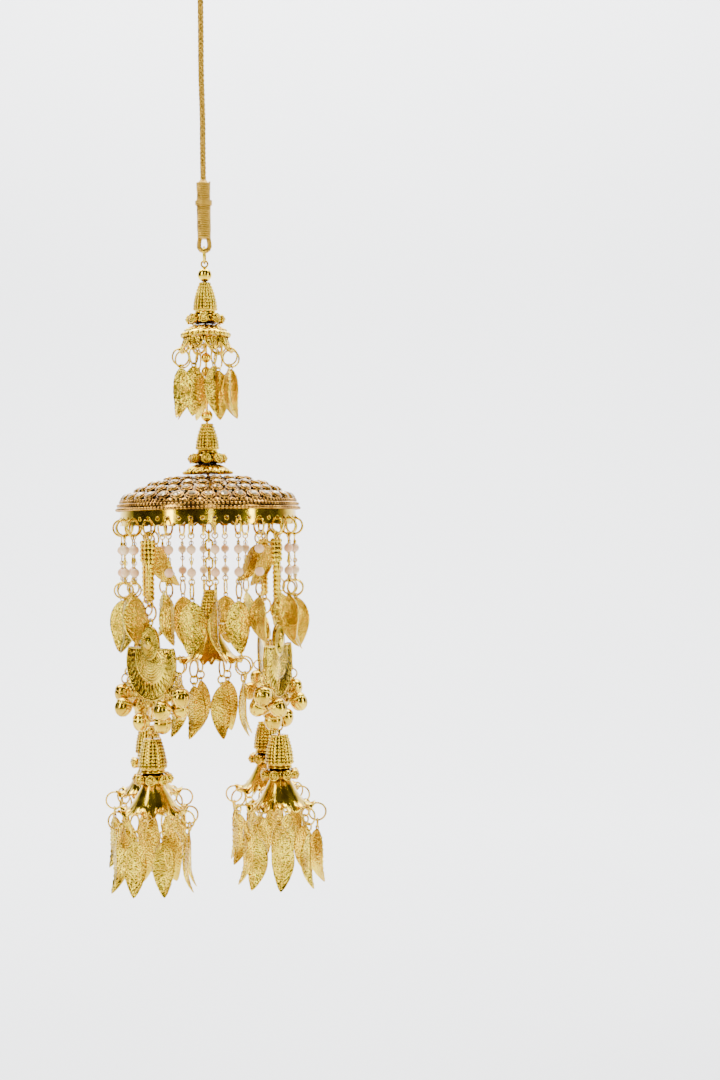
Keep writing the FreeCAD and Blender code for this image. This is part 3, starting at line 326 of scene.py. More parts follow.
class GeometryTree:
    """A Geometry Nodes tree with named inputs that ends in Realize Instances and Set Material."""

    def __init__(self, name: str, inputs: Sequence[tuple[str, str]]) -> None:
        """Start the tree.

        Args:
            name: The tree's name.
            inputs: Each input's name and the kind of its socket.
        """
        self.tree = bpy.data.node_groups.new(name, "GeometryNodeTree")
        face = self.tree.interface
        self.keys = {label: face.new_socket(name=label, in_out="INPUT",
                                            socket_type=f"NodeSocket{kind}").identifier
                     for label, kind in (*inputs, ("Finish", "Material"))}
        face.new_socket(name="Made", in_out="OUTPUT", socket_type="NodeSocketGeometry")
        self.given = self.tree.nodes.new("NodeGroupInput")

    def node(self, kind: str, **settings: str) -> bpy.types.Node:
        """A new node of a kind, with its settings."""
        made = self.tree.nodes.new(kind)
        for name, value in settings.items():
            setattr(made, name, value)
        return made

    def lead(self, source: bpy.types.NodeSocket | str, node: bpy.types.Node, label: str) -> None:
        """Lead a socket, or a named input of the tree, into a node's input."""
        socket = self.given.outputs[source] if isinstance(source, str) else source
        self.tree.links.new(socket, node.inputs[label])

    def end(self, made: bpy.types.NodeSocket) -> None:
        """Realize what was made, dress it and give it out."""
        real = self.node("GeometryNodeRealizeInstances")
        dress = self.node("GeometryNodeSetMaterial")
        self.lead(made, real, "Geometry")
        self.lead(real.outputs["Geometry"], dress, "Geometry")
        self.lead("Finish", dress, "Material")
        self.lead(dress.outputs["Geometry"], self.node("NodeGroupOutput"), "Made")

    def run(self, base: bpy.types.Mesh, values: dict[str, object],
            others: Sequence[bpy.types.Object] = ()) -> Shape:
        """Evaluate the tree on a mesh.

        Args:
            base: The mesh that it works on.
            values: What goes on each named input.
            others: Helpers to clear away afterwards.

        Returns:
            What the tree makes.
        """
        holder = bpy.data.objects.new("holder", base)
        bpy.context.scene.collection.objects.link(holder)
        modifier = holder.modifiers.new("made", "NODES")
        modifier.node_group = self.tree
        for label, value in values.items():
            modifier[self.keys[label]] = value
        return take_result(holder, others)


class SetTree(GeometryTree):
    """Copies of one piece on marked points, turned and stretched."""

    def __init__(self) -> None:
        """Build the tree once."""
        super().__init__("set_on_points", (("Points", "Geometry"), ("Piece", "Object")))
        info = self.node("GeometryNodeObjectInfo")
        setter = self.node("GeometryNodeInstanceOnPoints")
        rotation = self.node("FunctionNodeEulerToRotation")
        marks = {}
        for name in ("turn", "stretch"):
            marks[name] = self.node("GeometryNodeInputNamedAttribute", data_type="FLOAT_VECTOR")
            marks[name].inputs["Name"].default_value = name
        self.lead("Points", setter, "Points")
        self.lead("Piece", info, "Object")
        self.lead(info.outputs["Geometry"], setter, "Instance")
        self.lead(marks["turn"].outputs["Attribute"], rotation, "Euler")
        self.lead(rotation.outputs["Rotation"], setter, "Rotation")
        self.lead(marks["stretch"].outputs["Attribute"], setter, "Scale")
        self.end(setter.outputs["Instances"])

    def copies(self, piece: Shape, places: Sequence[Matrix],
               stretches: Sequence[Point] | None = None) -> Shape:
        """Set a piece on every place.

        Args:
            piece: What is copied.
            places: Where each copy goes.
            stretches: How much each copy is stretched along its own axes.

        Returns:
            All copies as one shape.
        """
        master = bpy.data.objects.new("master", piece.mesh("master"))
        bpy.context.scene.collection.objects.link(master)
        cloud = bpy.data.meshes.new("points")
        cloud.from_pydata([tuple(place.translation) for place in places], [], [])
        turns = [value for place in places for value in place.to_euler("XYZ")]
        sizes = [value for stretch in (stretches or [(1.0, 1.0, 1.0)] * len(places)) for value in stretch]
        for name, values in (("turn", turns), ("stretch", sizes)):
            cloud.attributes.new(name, "FLOAT_VECTOR", "POINT").data.foreach_set("vector", values)
        return self.run(cloud, {"Piece": master}, [master])


class BeadRowTree(GeometryTree):
    """A ring of round granules, from a count and sizes."""

    def __init__(self) -> None:
        """Build the tree once."""
        super().__init__("granule_row", (("Base", "Geometry"), ("Count", "Int"), ("Row Radius", "Float"),
                                         ("Height", "Vector"), ("Granule Radius", "Float")))
        circle = self.node("GeometryNodeMeshCircle")
        move = self.node("GeometryNodeTransform")
        setter = self.node("GeometryNodeInstanceOnPoints")
        granule = self.node("GeometryNodeMeshUVSphere")
        granule.inputs["Segments"].default_value = 8
        granule.inputs["Rings"].default_value = 5
        self.lead("Count", circle, "Vertices")
        self.lead("Row Radius", circle, "Radius")
        self.lead(circle.outputs["Mesh"], move, "Geometry")
        self.lead("Height", move, "Translation")
        self.lead(move.outputs["Geometry"], setter, "Points")
        self.lead("Granule Radius", granule, "Radius")
        self.lead(granule.outputs["Mesh"], setter, "Instance")
        self.end(setter.outputs["Instances"])

    def row(self, count: int, radius: float, height: float, granule: float) -> Shape:
        """Lay one ring of granules.

        Args:
            count: How many granules.
            radius: The ring's radius.
            height: The ring's height.
            granule: One granule's radius.

        Returns:
            The row.
        """
        return self.run(bpy.data.meshes.new("row"), {"Count": count, "Row Radius": radius,
                                                     "Height": (0.0, 0.0, height),
                                                     "Granule Radius": granule})


class WindingTree(GeometryTree):
    """A round thread wound about Z."""

    def __init__(self) -> None:
        """Build the tree once."""
        super().__init__("thread_winding", (("Base", "Geometry"), ("Turns", "Float"), ("Top Radius", "Float"),
                                            ("Foot Radius", "Float"), ("Height", "Float"),
                                            ("Thread Radius", "Float")))
        spiral = self.node("GeometryNodeCurveSpiral")
        spiral.inputs["Resolution"].default_value = 24
        thread = self.node("GeometryNodeCurvePrimitiveCircle")
        thread.inputs["Resolution"].default_value = 6
        sweep = self.node("GeometryNodeCurveToMesh")
        sweep.inputs["Fill Caps"].default_value = True
        self.lead("Turns", spiral, "Rotations")
        self.lead("Foot Radius", spiral, "Start Radius")
        self.lead("Top Radius", spiral, "End Radius")
        self.lead("Height", spiral, "Height")
        self.lead("Thread Radius", thread, "Radius")
        self.lead(spiral.outputs["Curve"], sweep, "Curve")
        self.lead(thread.outputs["Curve"], sweep, "Profile Curve")
        self.end(sweep.outputs["Mesh"])

    def wind(self, turns: float, foot: float, top: float, height: float, thread: float) -> Shape:
        """Wind a thread upwards from height 0.

        Args:
            turns: How many turns.
            foot: The radius at the foot.
            top: The radius at the top.
            height: How far it climbs.
            thread: The thread's radius.

        Returns:
            The winding.
        """
        return self.run(bpy.data.meshes.new("winding"), {"Turns": float(turns), "Foot Radius": foot,
                                                         "Top Radius": top, "Height": height,
                                                         "Thread Radius": thread})


def take_result(holder: bpy.types.Object, others: Sequence[bpy.types.Object]) -> Shape:
    """Read what a modifier made as a plain shape, and clear the helpers away.

    Args:
        holder: The object whose modifier made it.
        others: Further helpers to remove.

    Returns:
        The made shape.
    """
    bpy.context.view_layer.update()
    evaluated = holder.evaluated_get(bpy.context.evaluated_depsgraph_get())
    mesh = bpy.data.meshes.new_from_object(evaluated)
    flat = np.zeros(len(mesh.vertices) * 3)
    mesh.vertices.foreach_get("co", flat)
    shape = Shape().add(flat.reshape(-1, 3), [tuple(face.vertices) for face in mesh.polygons])
    for item in [holder, *others]:
        data = item.data
        bpy.data.objects.remove(item)
        bpy.data.meshes.remove(data)
    bpy.data.meshes.remove(mesh)
    return shape


SET = SetTree()
ROW = BeadRowTree()
WIND = WindingTree()


def start_material(name: str) -> tuple[bpy.types.Material, bpy.types.ShaderNodeTree, bpy.types.Node]:
    """A new material with its main shader.

    Args:
        name: The material's name.

    Returns:
        The material, its nodes and the main shader.
    """
    material = bpy.data.materials.new(name)
    material.use_nodes = True
    return material, material.node_tree, material.node_tree.nodes["Principled BSDF"]


def noise(tree: bpy.types.ShaderNodeTree, scale: float, detail: float = 3.0) -> bpy.types.NodeSocket:
    """Noise on the object's own coordinates.

    Args:
        tree: Where its nodes go.
        scale: Cells for each metre.
        detail: How fine it goes.

    Returns:
        The noise's value.
    """
    coordinates = tree.nodes.new("ShaderNodeTexCoord")
    texture = tree.nodes.new("ShaderNodeTexNoise")
    texture.inputs["Scale"].default_value = scale
    texture.inputs["Detail"].default_value = detail
    tree.links.new(coordinates.outputs["Object"], texture.inputs["Vector"])
    return texture.outputs["Fac"]


def granulation(tree: bpy.types.ShaderNodeTree, scale: float) -> bpy.types.NodeSocket:
    """Close round cells on the object's own coordinates, as of fine granules.

    Args:
        tree: Where its nodes go.
        scale: Cells for each metre.

    Returns:
        The distance from the middle of each cell.
    """
    coordinates = tree.nodes.new("ShaderNodeTexCoord")
    cells = tree.nodes.new("ShaderNodeTexVoronoi")
    cells.inputs["Scale"].default_value = scale
    tree.links.new(coordinates.outputs["Object"], cells.inputs["Vector"])
    return cells.outputs["Distance"]


def ramp(tree: bpy.types.ShaderNodeTree, value: bpy.types.NodeSocket,
         stops: Sequence[tuple[float, Colour]]) -> bpy.types.NodeSocket:
    """Colours along a value.

    Args:
        tree: Where its node goes.
        value: What picks the colour.
        stops: Places from 0 to 1 and their colours.

    Returns:
        The colour.
    """
    node = tree.nodes.new("ShaderNodeValToRGB")
    points = node.color_ramp.elements
    while len(points) < len(stops):
        points.new(0.5)
    for point, (place, colour) in zip(points, stops):
        point.position = place
        point.color = (*colour, 1.0)
    tree.links.new(value, node.inputs["Fac"])
    return node.outputs["Color"]


def spread(tree: bpy.types.ShaderNodeTree, value: bpy.types.NodeSocket, low: float,
           high: float) -> bpy.types.NodeSocket:
    """Noise mapped between two values."""
    node = tree.nodes.new("ShaderNodeMapRange")
    node.inputs["From Min"].default_value = 0.3
    node.inputs["From Max"].default_value = 0.7
    node.inputs["To Min"].default_value = low
    node.inputs["To Max"].default_value = high
    tree.links.new(value, node.inputs["Value"])
    return node.outputs["Result"]


def bump(tree: bpy.types.ShaderNodeTree, shader: bpy.types.Node, value: bpy.types.NodeSocket,
         strength: float, depth: float) -> None:
    """Raise a shader's surface by a value.

    Args:
        tree: Where its node goes.
        shader: The shader that gets it.
        value: The height's pattern.
        strength: How strong it is.
        depth: How deep it is, in metres.
    """
    node = tree.nodes.new("ShaderNodeBump")
    node.inputs["Strength"].default_value = strength
    node.inputs["Distance"].default_value = depth
    tree.links.new(value, node.inputs["Height"])
    tree.links.new(node.outputs["Normal"], shader.inputs["Normal"])


@dataclass(frozen=True)
class Finish:
    """A surface finish, made into a procedural material when a piece first needs it."""

    name: str

    def material(self) -> bpy.types.Material:
        """The finish as a material, made once."""
        found = bpy.data.materials.get(self.name)
        if found:
            return found
        material, tree, shader = start_material(self.name)
        self.dress(tree, shader)
        return material

    def dress(self, tree: bpy.types.ShaderNodeTree, shader: bpy.types.Node) -> None:
        """Give the main shader this finish's colours and relief."""
        raise NotImplementedError


@dataclass(frozen=True)
class GoldFinish(Finish):
    """Gold plating in bright and warm patches, with painted shade that makes it darker and warmer in the
    hollows.
    """

    bright: Colour
    warm: Colour
    # The dark warm colour painted into hollows and creases as shade.
    hollow_shade: Colour
    rough: tuple[float, float]
    grain: float
    # How far the painted shade looks for nearby surfaces.
    shade_reach: float = 1.6 * MM
    filigree: float = 0.0
    filigree_strength: float = 0.8
    grain_depth: float = 0.05 * MM
    patch_scale: float = 160.0
    wear_scale: float = 420.0
    grain_scale: float = 1500.0

    def dress(self, tree: bpy.types.ShaderNodeTree, shader: bpy.types.Node) -> None:
        """Bright and warm patches, painted shade in the hollows, and fine grain or granulation."""
        shader.inputs["Metallic"].default_value = 1.0
        patches = ramp(tree, noise(tree, self.patch_scale), ((0.32, self.warm), (0.62, self.bright)))
        # Ambient occlusion paints shade: where nearby surfaces crowd in, the colour goes over to the hollow
        # shade colour.
        shadow = tree.nodes.new("ShaderNodeAmbientOcclusion")
        shadow.samples = 4
        shadow.inputs["Distance"].default_value = self.shade_reach
        shade_mix = tree.nodes.new("ShaderNodeMix")
        shade_mix.data_type = "RGBA"
        factor, low, high = shade_mix.inputs[0], shade_mix.inputs[6], shade_mix.inputs[7]
        low.default_value = (*self.hollow_shade, 1.0)
        tree.links.new(spread(tree, shadow.outputs["AO"], 0.0, 1.0), factor)
        tree.links.new(patches, high)
        tree.links.new(shade_mix.outputs[2], shader.inputs["Base Color"])
        tree.links.new(spread(tree, noise(tree, self.wear_scale), *self.rough), shader.inputs["Roughness"])
        if self.filigree:
            bump(tree, shader, granulation(tree, self.grain_scale), self.filigree_strength, self.filigree)
        else:
            bump(tree, shader, noise(tree, self.grain_scale, 2.0), self.grain, self.grain_depth)


@dataclass(frozen=True)
class ThreadFinish(Finish):
    """Metallic thread, twisted fine."""

    bright: Colour
    dark: Colour
    fibre_scale: float = 900.0
    wear_scale: float = 700.0
    fibre_depth: float = 0.08 * MM

    def dress(self, tree: bpy.types.ShaderNodeTree, shader: bpy.types.Node) -> None:
        """Slanting fibres, bright on their backs and dark between."""
        shader.inputs["Metallic"].default_value = 0.75
        fibres = tree.nodes.new("ShaderNodeTexWave")
        fibres.inputs["Scale"].default_value = self.fibre_scale
        fibres.inputs["Distortion"].default_value = 5.0
        fibres.bands_direction = "DIAGONAL"
        coordinates = tree.nodes.new("ShaderNodeTexCoord")
        tree.links.new(coordinates.outputs["Object"], fibres.inputs["Vector"])
        colour = ramp(tree, fibres.outputs["Fac"], ((0.1, self.dark), (0.75, self.bright)))
        tree.links.new(colour, shader.inputs["Base Color"])
        tree.links.new(spread(tree, noise(tree, self.wear_scale), 0.28, 0.5), shader.inputs["Roughness"])
        bump(tree, shader, fibres.outputs["Fac"], 0.5, self.fibre_depth)


@dataclass(frozen=True)
class PearlFinish(Finish):
    """Ivory and peach pearl lustre."""

    ivory: Colour
    peach: Colour
    tint_scale: float = 110.0
    wear_scale: float = 600.0
    grain_scale: float = 900.0

    def dress(self, tree: bpy.types.ShaderNodeTree, shader: bpy.types.Node) -> None:
        """Cloudy tints under a clear coat."""
        shader.inputs["Coat Weight"].default_value = 0.6
        shader.inputs["Coat Roughness"].default_value = 0.1
        tint = ramp(tree, noise(tree, self.tint_scale), ((0.35, self.peach), (0.6, self.ivory)))
        tree.links.new(tint, shader.inputs["Base Color"])
        tree.links.new(spread(tree, noise(tree, self.wear_scale), 0.22, 0.34), shader.inputs["Roughness"])
        bump(tree, shader, noise(tree, self.grain_scale), 0.06, 0.03 * MM)


@dataclass(frozen=True)
class StoneFinish(Finish):
    """Foil-backed champagne stone."""

    pale: Colour
    smoky: Colour
    tint_scale: float = 330.0
    wear_scale: float = 800.0

    def dress(self, tree: bpy.types.ShaderNodeTree, shader: bpy.types.Node) -> None:
        """Pale and smoky stones with a bright foil behind them."""
        shader.inputs["Metallic"].default_value = 0.6
        shader.inputs["Coat Weight"].default_value = 1.0
        shader.inputs["Coat Roughness"].default_value = 0.02
        tint = ramp(tree, noise(tree, self.tint_scale), ((0.36, self.smoky), (0.58, self.pale)))
        tree.links.new(tint, shader.inputs["Base Color"])
        tree.links.new(spread(tree, noise(tree, self.wear_scale), 0.04, 0.12), shader.inputs["Roughness"])


# Each gold finish lists its bright and warm patch colours, then the colour of the painted shade in its
# hollows, then its roughness range and grain.
POLISHED = GoldFinish("polished_gold_plating", (0.95, 0.66, 0.028), (0.50, 0.27, 0.004),
                      (0.09, 0.036, 0.001), (0.10, 0.18), 0.2)
LEAF_GOLD = GoldFinish("filigree_gold_plating", (0.95, 0.67, 0.035), (0.40, 0.21, 0.003),
                       (0.06, 0.022, 0.001), (0.12, 0.22), 0.3, 1.1 * MM, 0.32 * MM)
PLATE_GOLD = GoldFinish("stamped_gold_plating", (0.92, 0.66, 0.045), (0.42, 0.23, 0.005),
                        (0.08, 0.033, 0.002), (0.13, 0.24), 0.35, 0.9 * MM, 0.12 * MM)
SATIN = GoldFinish("satin_gold_plating", (0.92, 0.63, 0.038), (0.50, 0.28, 0.008),
                   (0.09, 0.036, 0.002), (0.13, 0.24), 0.25)
ANTIQUE = GoldFinish("antique_gold_crust", (0.58, 0.31, 0.05), (0.22, 0.10, 0.015),
                     (0.012, 0.005, 0.002), (0.14, 0.28), 0.35)
THREAD = ThreadFinish("gold_thread", (0.82, 0.49, 0.04), (0.15, 0.075, 0.005))
PEARL = PearlFinish("pearl_lustre", (1.0, 0.73, 0.37), (0.94, 0.49, 0.21))
STONE = StoneFinish("champagne_stone", (0.82, 0.66, 0.38), (0.22, 0.13, 0.05))


def finish_piece(name: str, shape: Shape, body: str, finish: Finish,
                 replaces: Sequence[str] = (), shade: Shade = Shade.SMOOTH) -> bpy.types.Object:
    """Put a finished piece into the scene.

    Args:
        name: The piece's name.
        shape: Its shape, in place.
        body: The body that it moves with.
        finish: What it is dressed with.
        replaces: The solids that it stands for.
        shade: Whether its faces are smooth.

    Returns:
        The piece.
    """
    mesh = shape.mesh(name, shade)
    mesh.materials.append(finish.material())
    piece = bpy.data.objects.new(name, mesh)
    bpy.context.scene.collection.objects.link(piece)
    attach(piece, body)
    if replaces:
        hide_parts(*replaces)
    log.info("%s: %d faces on %s", name, len(mesh.polygons), body)
    return piece


@dataclass(frozen=True)
class Corner:
    """One of the four corner strands, read from the joints that it swings on."""

    number: int
    bar: Matrix
    plate: Matrix
    drop: Matrix

    @staticmethod
    def read(number: int) -> "Corner":
        """Find a corner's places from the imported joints."""
        joints = {joint["name"]: joint for joint in frame["joints"]}
        upper = joints[f"pendant_swing_{number}"]
        lower = joints[f"lower_drop_swing_{number}"]
        bar = Corner.facing(upper["pos_m"], upper["axis"])
        plate = Corner.facing(upper["pos_m"], lower["axis"])
        return Corner(number, bar, plate, Corner.facing(lower["pos_m"], lower["axis"]))

    @staticmethod
    def facing(place: Sequence[float], axis: Sequence[float]) -> Matrix:
        """The frame whose local X is the swing's axis and whose local Y points outwards."""
        along = Vector(axis).normalized()
        outwards = UP.cross(along)
        columns = Matrix((along, outwards, UP)).transposed()
        return Matrix.Translation(place) @ columns.to_4x4()


CORNERS = tuple(Corner.read(number) for number in (1, 2, 3, 4))
HANG_RADIUS = CORNERS[0].bar.translation.xy.length
FIRST_AZIMUTH = math.degrees(math.atan2(CORNERS[2].bar.translation.y, CORNERS[2].bar.translation.x))


@dataclass
class CordRig:
    """The braided cord with its knot, and the wound binding with its eye."""

    radius: float = 1.2 * MM
    strand: float = 0.36 * MM
    strands_each_way: int = 4
    pitch: float = 7.0 * MM
    route: tuple[Point, ...] = tuple((x * MM, 0.0, z * MM) for x, z in (
        (0.0, -72.0), (0.0, -61.0), (0.15, -49.0), (-0.2, -34.0), (0.0, -18.0), (0.0, -6.0)))
    knot_rounds: int = 3
    knot_radius: float = 1.75 * MM
    knot_cord: float = 0.95 * MM
    knot_sway: float = 0.45 * MM
    binding_radius: float = 2.75 * MM
    binding_tall: float = 21.2 * MM
    binding_turns: int = 25
    thread: float = 0.42 * MM
    tie_height: float = -80.3 * MM
    tie_turns: int = 3
    tie_tall: float = 1.5 * MM
    tie_thread: float = 0.4 * MM
    eye_radius: float = 1.9 * MM
    eye_cord: float = 0.95 * MM
    eye_strand: float = 0.28 * MM
    eye_pitch: float = 4.2 * MM

    def line(self) -> list[Vector]:
        """The cord's smooth centre line."""
        curve = bpy.data.curves.new("cord_line", "CURVE")
        curve.dimensions = "3D"
        spline = curve.splines.new("NURBS")
        spline.points.add(len(self.route) - 1)
        for point, place in zip(spline.points, self.route):
            point.co = (*place, 1.0)
        spline.order_u = 3
        spline.use_endpoint_u = True
        spline.resolution_u = 40
        holder = bpy.data.objects.new("cord_line", curve)
        bpy.context.scene.collection.objects.link(holder)
        bpy.context.view_layer.update()
        mesh = bpy.data.meshes.new_from_object(holder)
        points = [vertex.co.copy() for vertex in mesh.vertices]
        bpy.data.objects.remove(holder)
        bpy.data.meshes.remove(mesh)
        return points

    def braid(self, path: Sequence[Vector], reach: float, strand: float, pitch: float) -> Shape:
        """Strands that cross over and under each other along a path.

        Args:
            path: The centre line.
            reach: The braid's outer radius.
            strand: One strand's radius.
            pitch: The length of one full turn.

        Returns:
            The braid with its core.
        """
        shape = tube(path, reach - 1.5 * strand, 8)
        swing = 0.28 * strand
        middle = reach - strand - swing
        lengths = np.concatenate([[0.0], np.cumsum([(b - a).length for a, b in zip(path, path[1:])])])
        for way in (1.0, -1.0):
            for number in range(self.strands_each_way):
                phase = 2.0 * math.pi * number / self.strands_each_way
                points = []
                side = None
                for step, here in enumerate(path):
                    before = path[max(step - 1, 0)]
                    after = path[min(step + 1, len(path) - 1)]
                    along = (after - before).normalized()
                    side = along.orthogonal().normalized() if side is None else side
                    side = (side - along * side.dot(along)).normalized()
                    angle = way * 2.0 * math.pi * lengths[step] / pitch + phase
                    over = math.cos(self.strands_each_way * angle + (0.0 if way > 0 else math.pi))
                    out = middle + swing * over
                    points.append(here + out * (side * math.cos(angle) + along.cross(side) * math.sin(angle)))
                shape.put(tube(points, strand, 6))
        return shape

    def eye_line(self, top: float, centre: float) -> list[Vector]:
        """The eye's line: down one leg, round and up the other, drawn in at its top.

        Args:
            top: The height where its legs go into the binding.
            centre: The height of its round part's middle.

        Returns:
            The points of the line.
        """
        steps = 12
        legs = []
        for step in range(steps):
            share = step / steps
            legs.append((self.eye_radius * (0.55 + 0.45 * math.sin(0.5 * math.pi * share)),
                         top + (centre - top) * share))
        left = [Vector((-x, 0.0, z)) for x, z in legs]
        bend = [Vector((self.eye_radius * math.cos(a), 0.0, centre + self.eye_radius * math.sin(a)))
                for a in np.linspace(math.pi, 2.0 * math.pi, 25)]
        return left + bend + [Vector((x, 0.0, z)) for x, z in reversed(legs)]

    def uneven(self, wound: Shape) -> Shape:
        """The same winding drawn in and let out a little along its length."""
        points = wound.points()
        height = points[:, 2]
        scale = 0.965 + 0.035 * np.sin(height / (1.7 * MM)) * np.sin(height / (4.3 * MM) + 1.0)
        points[:, 0] *= scale
        points[:, 1] *= scale
        return Shape().add(points, wound.faces)

    def knot(self) -> Shape:
        """The knot: rounds of cord over its core."""
        low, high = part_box("cord_knot")
        knot = Shape()
        for number in range(self.knot_rounds):
            height = low.z + (number + 0.6) * (high.z - low.z) / (self.knot_rounds + 0.4)
            path = [Vector((self.knot_radius * math.cos(a), self.knot_radius * math.sin(a),
                            height + self.knot_sway * math.sin(a + 2.1 * number))) for a in once_round(48)]
            knot.put(tube(path, self.knot_cord, 10, True))
        return knot.put(pin(low.z, high.z - 0.9 * MM, self.radius, 12))

    def binding(self) -> Shape:
        """The binding: a core, its winding, a tie round it and the braided eye below."""
        low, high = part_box("cord_binding")
        foot = high.z - self.binding_tall
        core = self.binding_radius - 1.5 * self.thread
        binding = lathe([(0.0, high.z), (0.6 * core, high.z), (core, high.z - 1.6 * MM),
                         (core, foot + 2.0 * MM), (0.85 * core, foot), (0.0, foot)], 24)
        winding = WIND.wind(self.binding_turns, 0.82 * self.binding_radius,
                            self.binding_radius - self.thread, self.binding_tall - 1.2 * MM, self.thread)
        binding.put(winding, at(0.0, 0.0, foot + 0.3 * MM))
        binding = self.uneven(binding)
        tie = WIND.wind(self.tie_turns, self.binding_radius, self.binding_radius, self.tie_tall,
                        self.tie_thread)
        binding.put(tie, at(0.0, 0.0, self.tie_height - 0.5 * self.tie_tall))
        loop = self.eye_line(foot + 1.5 * MM, low.z + self.eye_cord + self.eye_radius)
        return binding.put(self.braid(loop, self.eye_cord, self.eye_strand, self.eye_pitch))

    def build(self) -> None:
        """Build the cord, its knot and its binding."""
        path = self.line()
        cord = finish_piece("braided_cord", self.braid(path, self.radius, self.strand, self.pitch), "cord",
                            THREAD, ["cord"])
        knot_piece = finish_piece("cord_knot_wraps", self.knot(), "cord", THREAD, ["cord_knot"])
        binding_piece = finish_piece("wound_binding", self.binding(), "cord", THREAD,
                                     ["cord_binding"])


@dataclass
class ConeBead:
    """A cone bead set all over with granules in level rows and upright columns."""

    top: float
    wide: float
    tall: float
    rows: int = 9
    columns: int = 20
    shoulder: float = 0.84
    bore: float = 0.5 * MM
    proud: float = 0.36 * MM
    neck_wire: float = 0.3 * MM
    foot_wire: float = 0.42 * MM

    def shape(self) -> Shape:
        """The bead with its top at height 0."""
        foot = -self.tall + 0.1 * MM
        core = [(self.bore, 0.0), (self.top - 0.2 * MM, 0.0)]
        core += [(self.radius_at(row / self.rows) - 0.15 * MM, -self.shoulder * self.tall * row / self.rows)
                 for row in range(1, self.rows + 1)]
        core += [(self.wide * 0.72, foot), (self.bore, foot)]
        bead = lathe(core, 40, True)
        places, stretches = [], []
        row_tall = self.shoulder * self.tall / self.rows
        for row in range(self.rows):
            radius = self.radius_at((row + 0.5) / self.rows)
            for column in range(self.columns):
                places.append(spot(360.0 * column / self.columns, radius, -(row + 0.5) * row_tall))
                stretches.append((math.pi * radius / self.columns * 0.98, self.proud, 0.5 * row_tall * 0.96))
        bead.put(SET.copies(ball(1.0, 8, 6), places, stretches))
        bead.put(ring(self.wide * 0.86, self.foot_wire, 40), at(0.0, 0.0, -self.tall * 0.93))
        bead.put(ring(self.top - 0.15 * MM, self.neck_wire, 24), at(0.0, 0.0, -self.neck_wire))
        return bead

    def radius_at(self, share: float) -> float:
        """The radius a share of the way down the rows."""
        return self.top + (self.wide - self.top) * math.sin(0.5 * math.pi * share) ** 0.92


@dataclass
class Rosette:
    """Eight cups round a drum, each with a granule in a ring of finer ones."""

    cups: int = 8
    cup_radius: float = 5.25 * MM
    cup: float = 1.9 * MM
    face: float = 0.95 * MM
    lip_wire: float = 0.38 * MM
    heart: float = 0.6 * MM
    seeds: int = 6
    seed: float = 0.32 * MM
    drum_outline: tuple[tuple[float, float], ...] = ((3.4, 1.85), (4.4, 1.2), (4.9, 0.5))
    drum_row: tuple[int, float, float, float] = (18, 3.7, 1.1, 0.42)

    def shape(self) -> Shape:
        """The rosette about height 0, each cup built with its mouth upwards and then turned out."""
        flower = SET.copies(ball(1.0, 16, 10), [at(0.0, 0.0, -0.1 * MM)],
                            [(0.95 * self.cup, 0.95 * self.cup, 0.9 * self.cup)])
        flower.put(ring(0.78 * self.cup, self.lip_wire, 20, 8), at(0.0, 0.0, self.face))
        flower.put(ball(self.heart, 10, 6), at(0.0, 0.0, self.face + 0.55 * MM))
        flower.put(ROW.row(self.seeds, 0.45 * self.cup, self.face + 0.45 * MM, self.seed))
        places = [spot(360.0 * number / self.cups, self.cup_radius, 0.0) @ turn(-90.0, "X")
                  for number in range(self.cups)]
        upper = [(radius * MM, height * MM) for radius, height in self.drum_outline]
        lower = [(radius, -height) for radius, height in reversed(upper)]
        top = upper[0][1]
        drum = lathe([(STEM_BORE, top), *upper, *lower, (STEM_BORE, -top)], 40, True)
        drum.put(SET.copies(flower, places))
        count, radius, lift, granule = self.drum_row
        for side in (-1.0, 1.0):
            drum.put(ROW.row(count, radius * MM, side * lift * MM, granule * MM))
        return drum


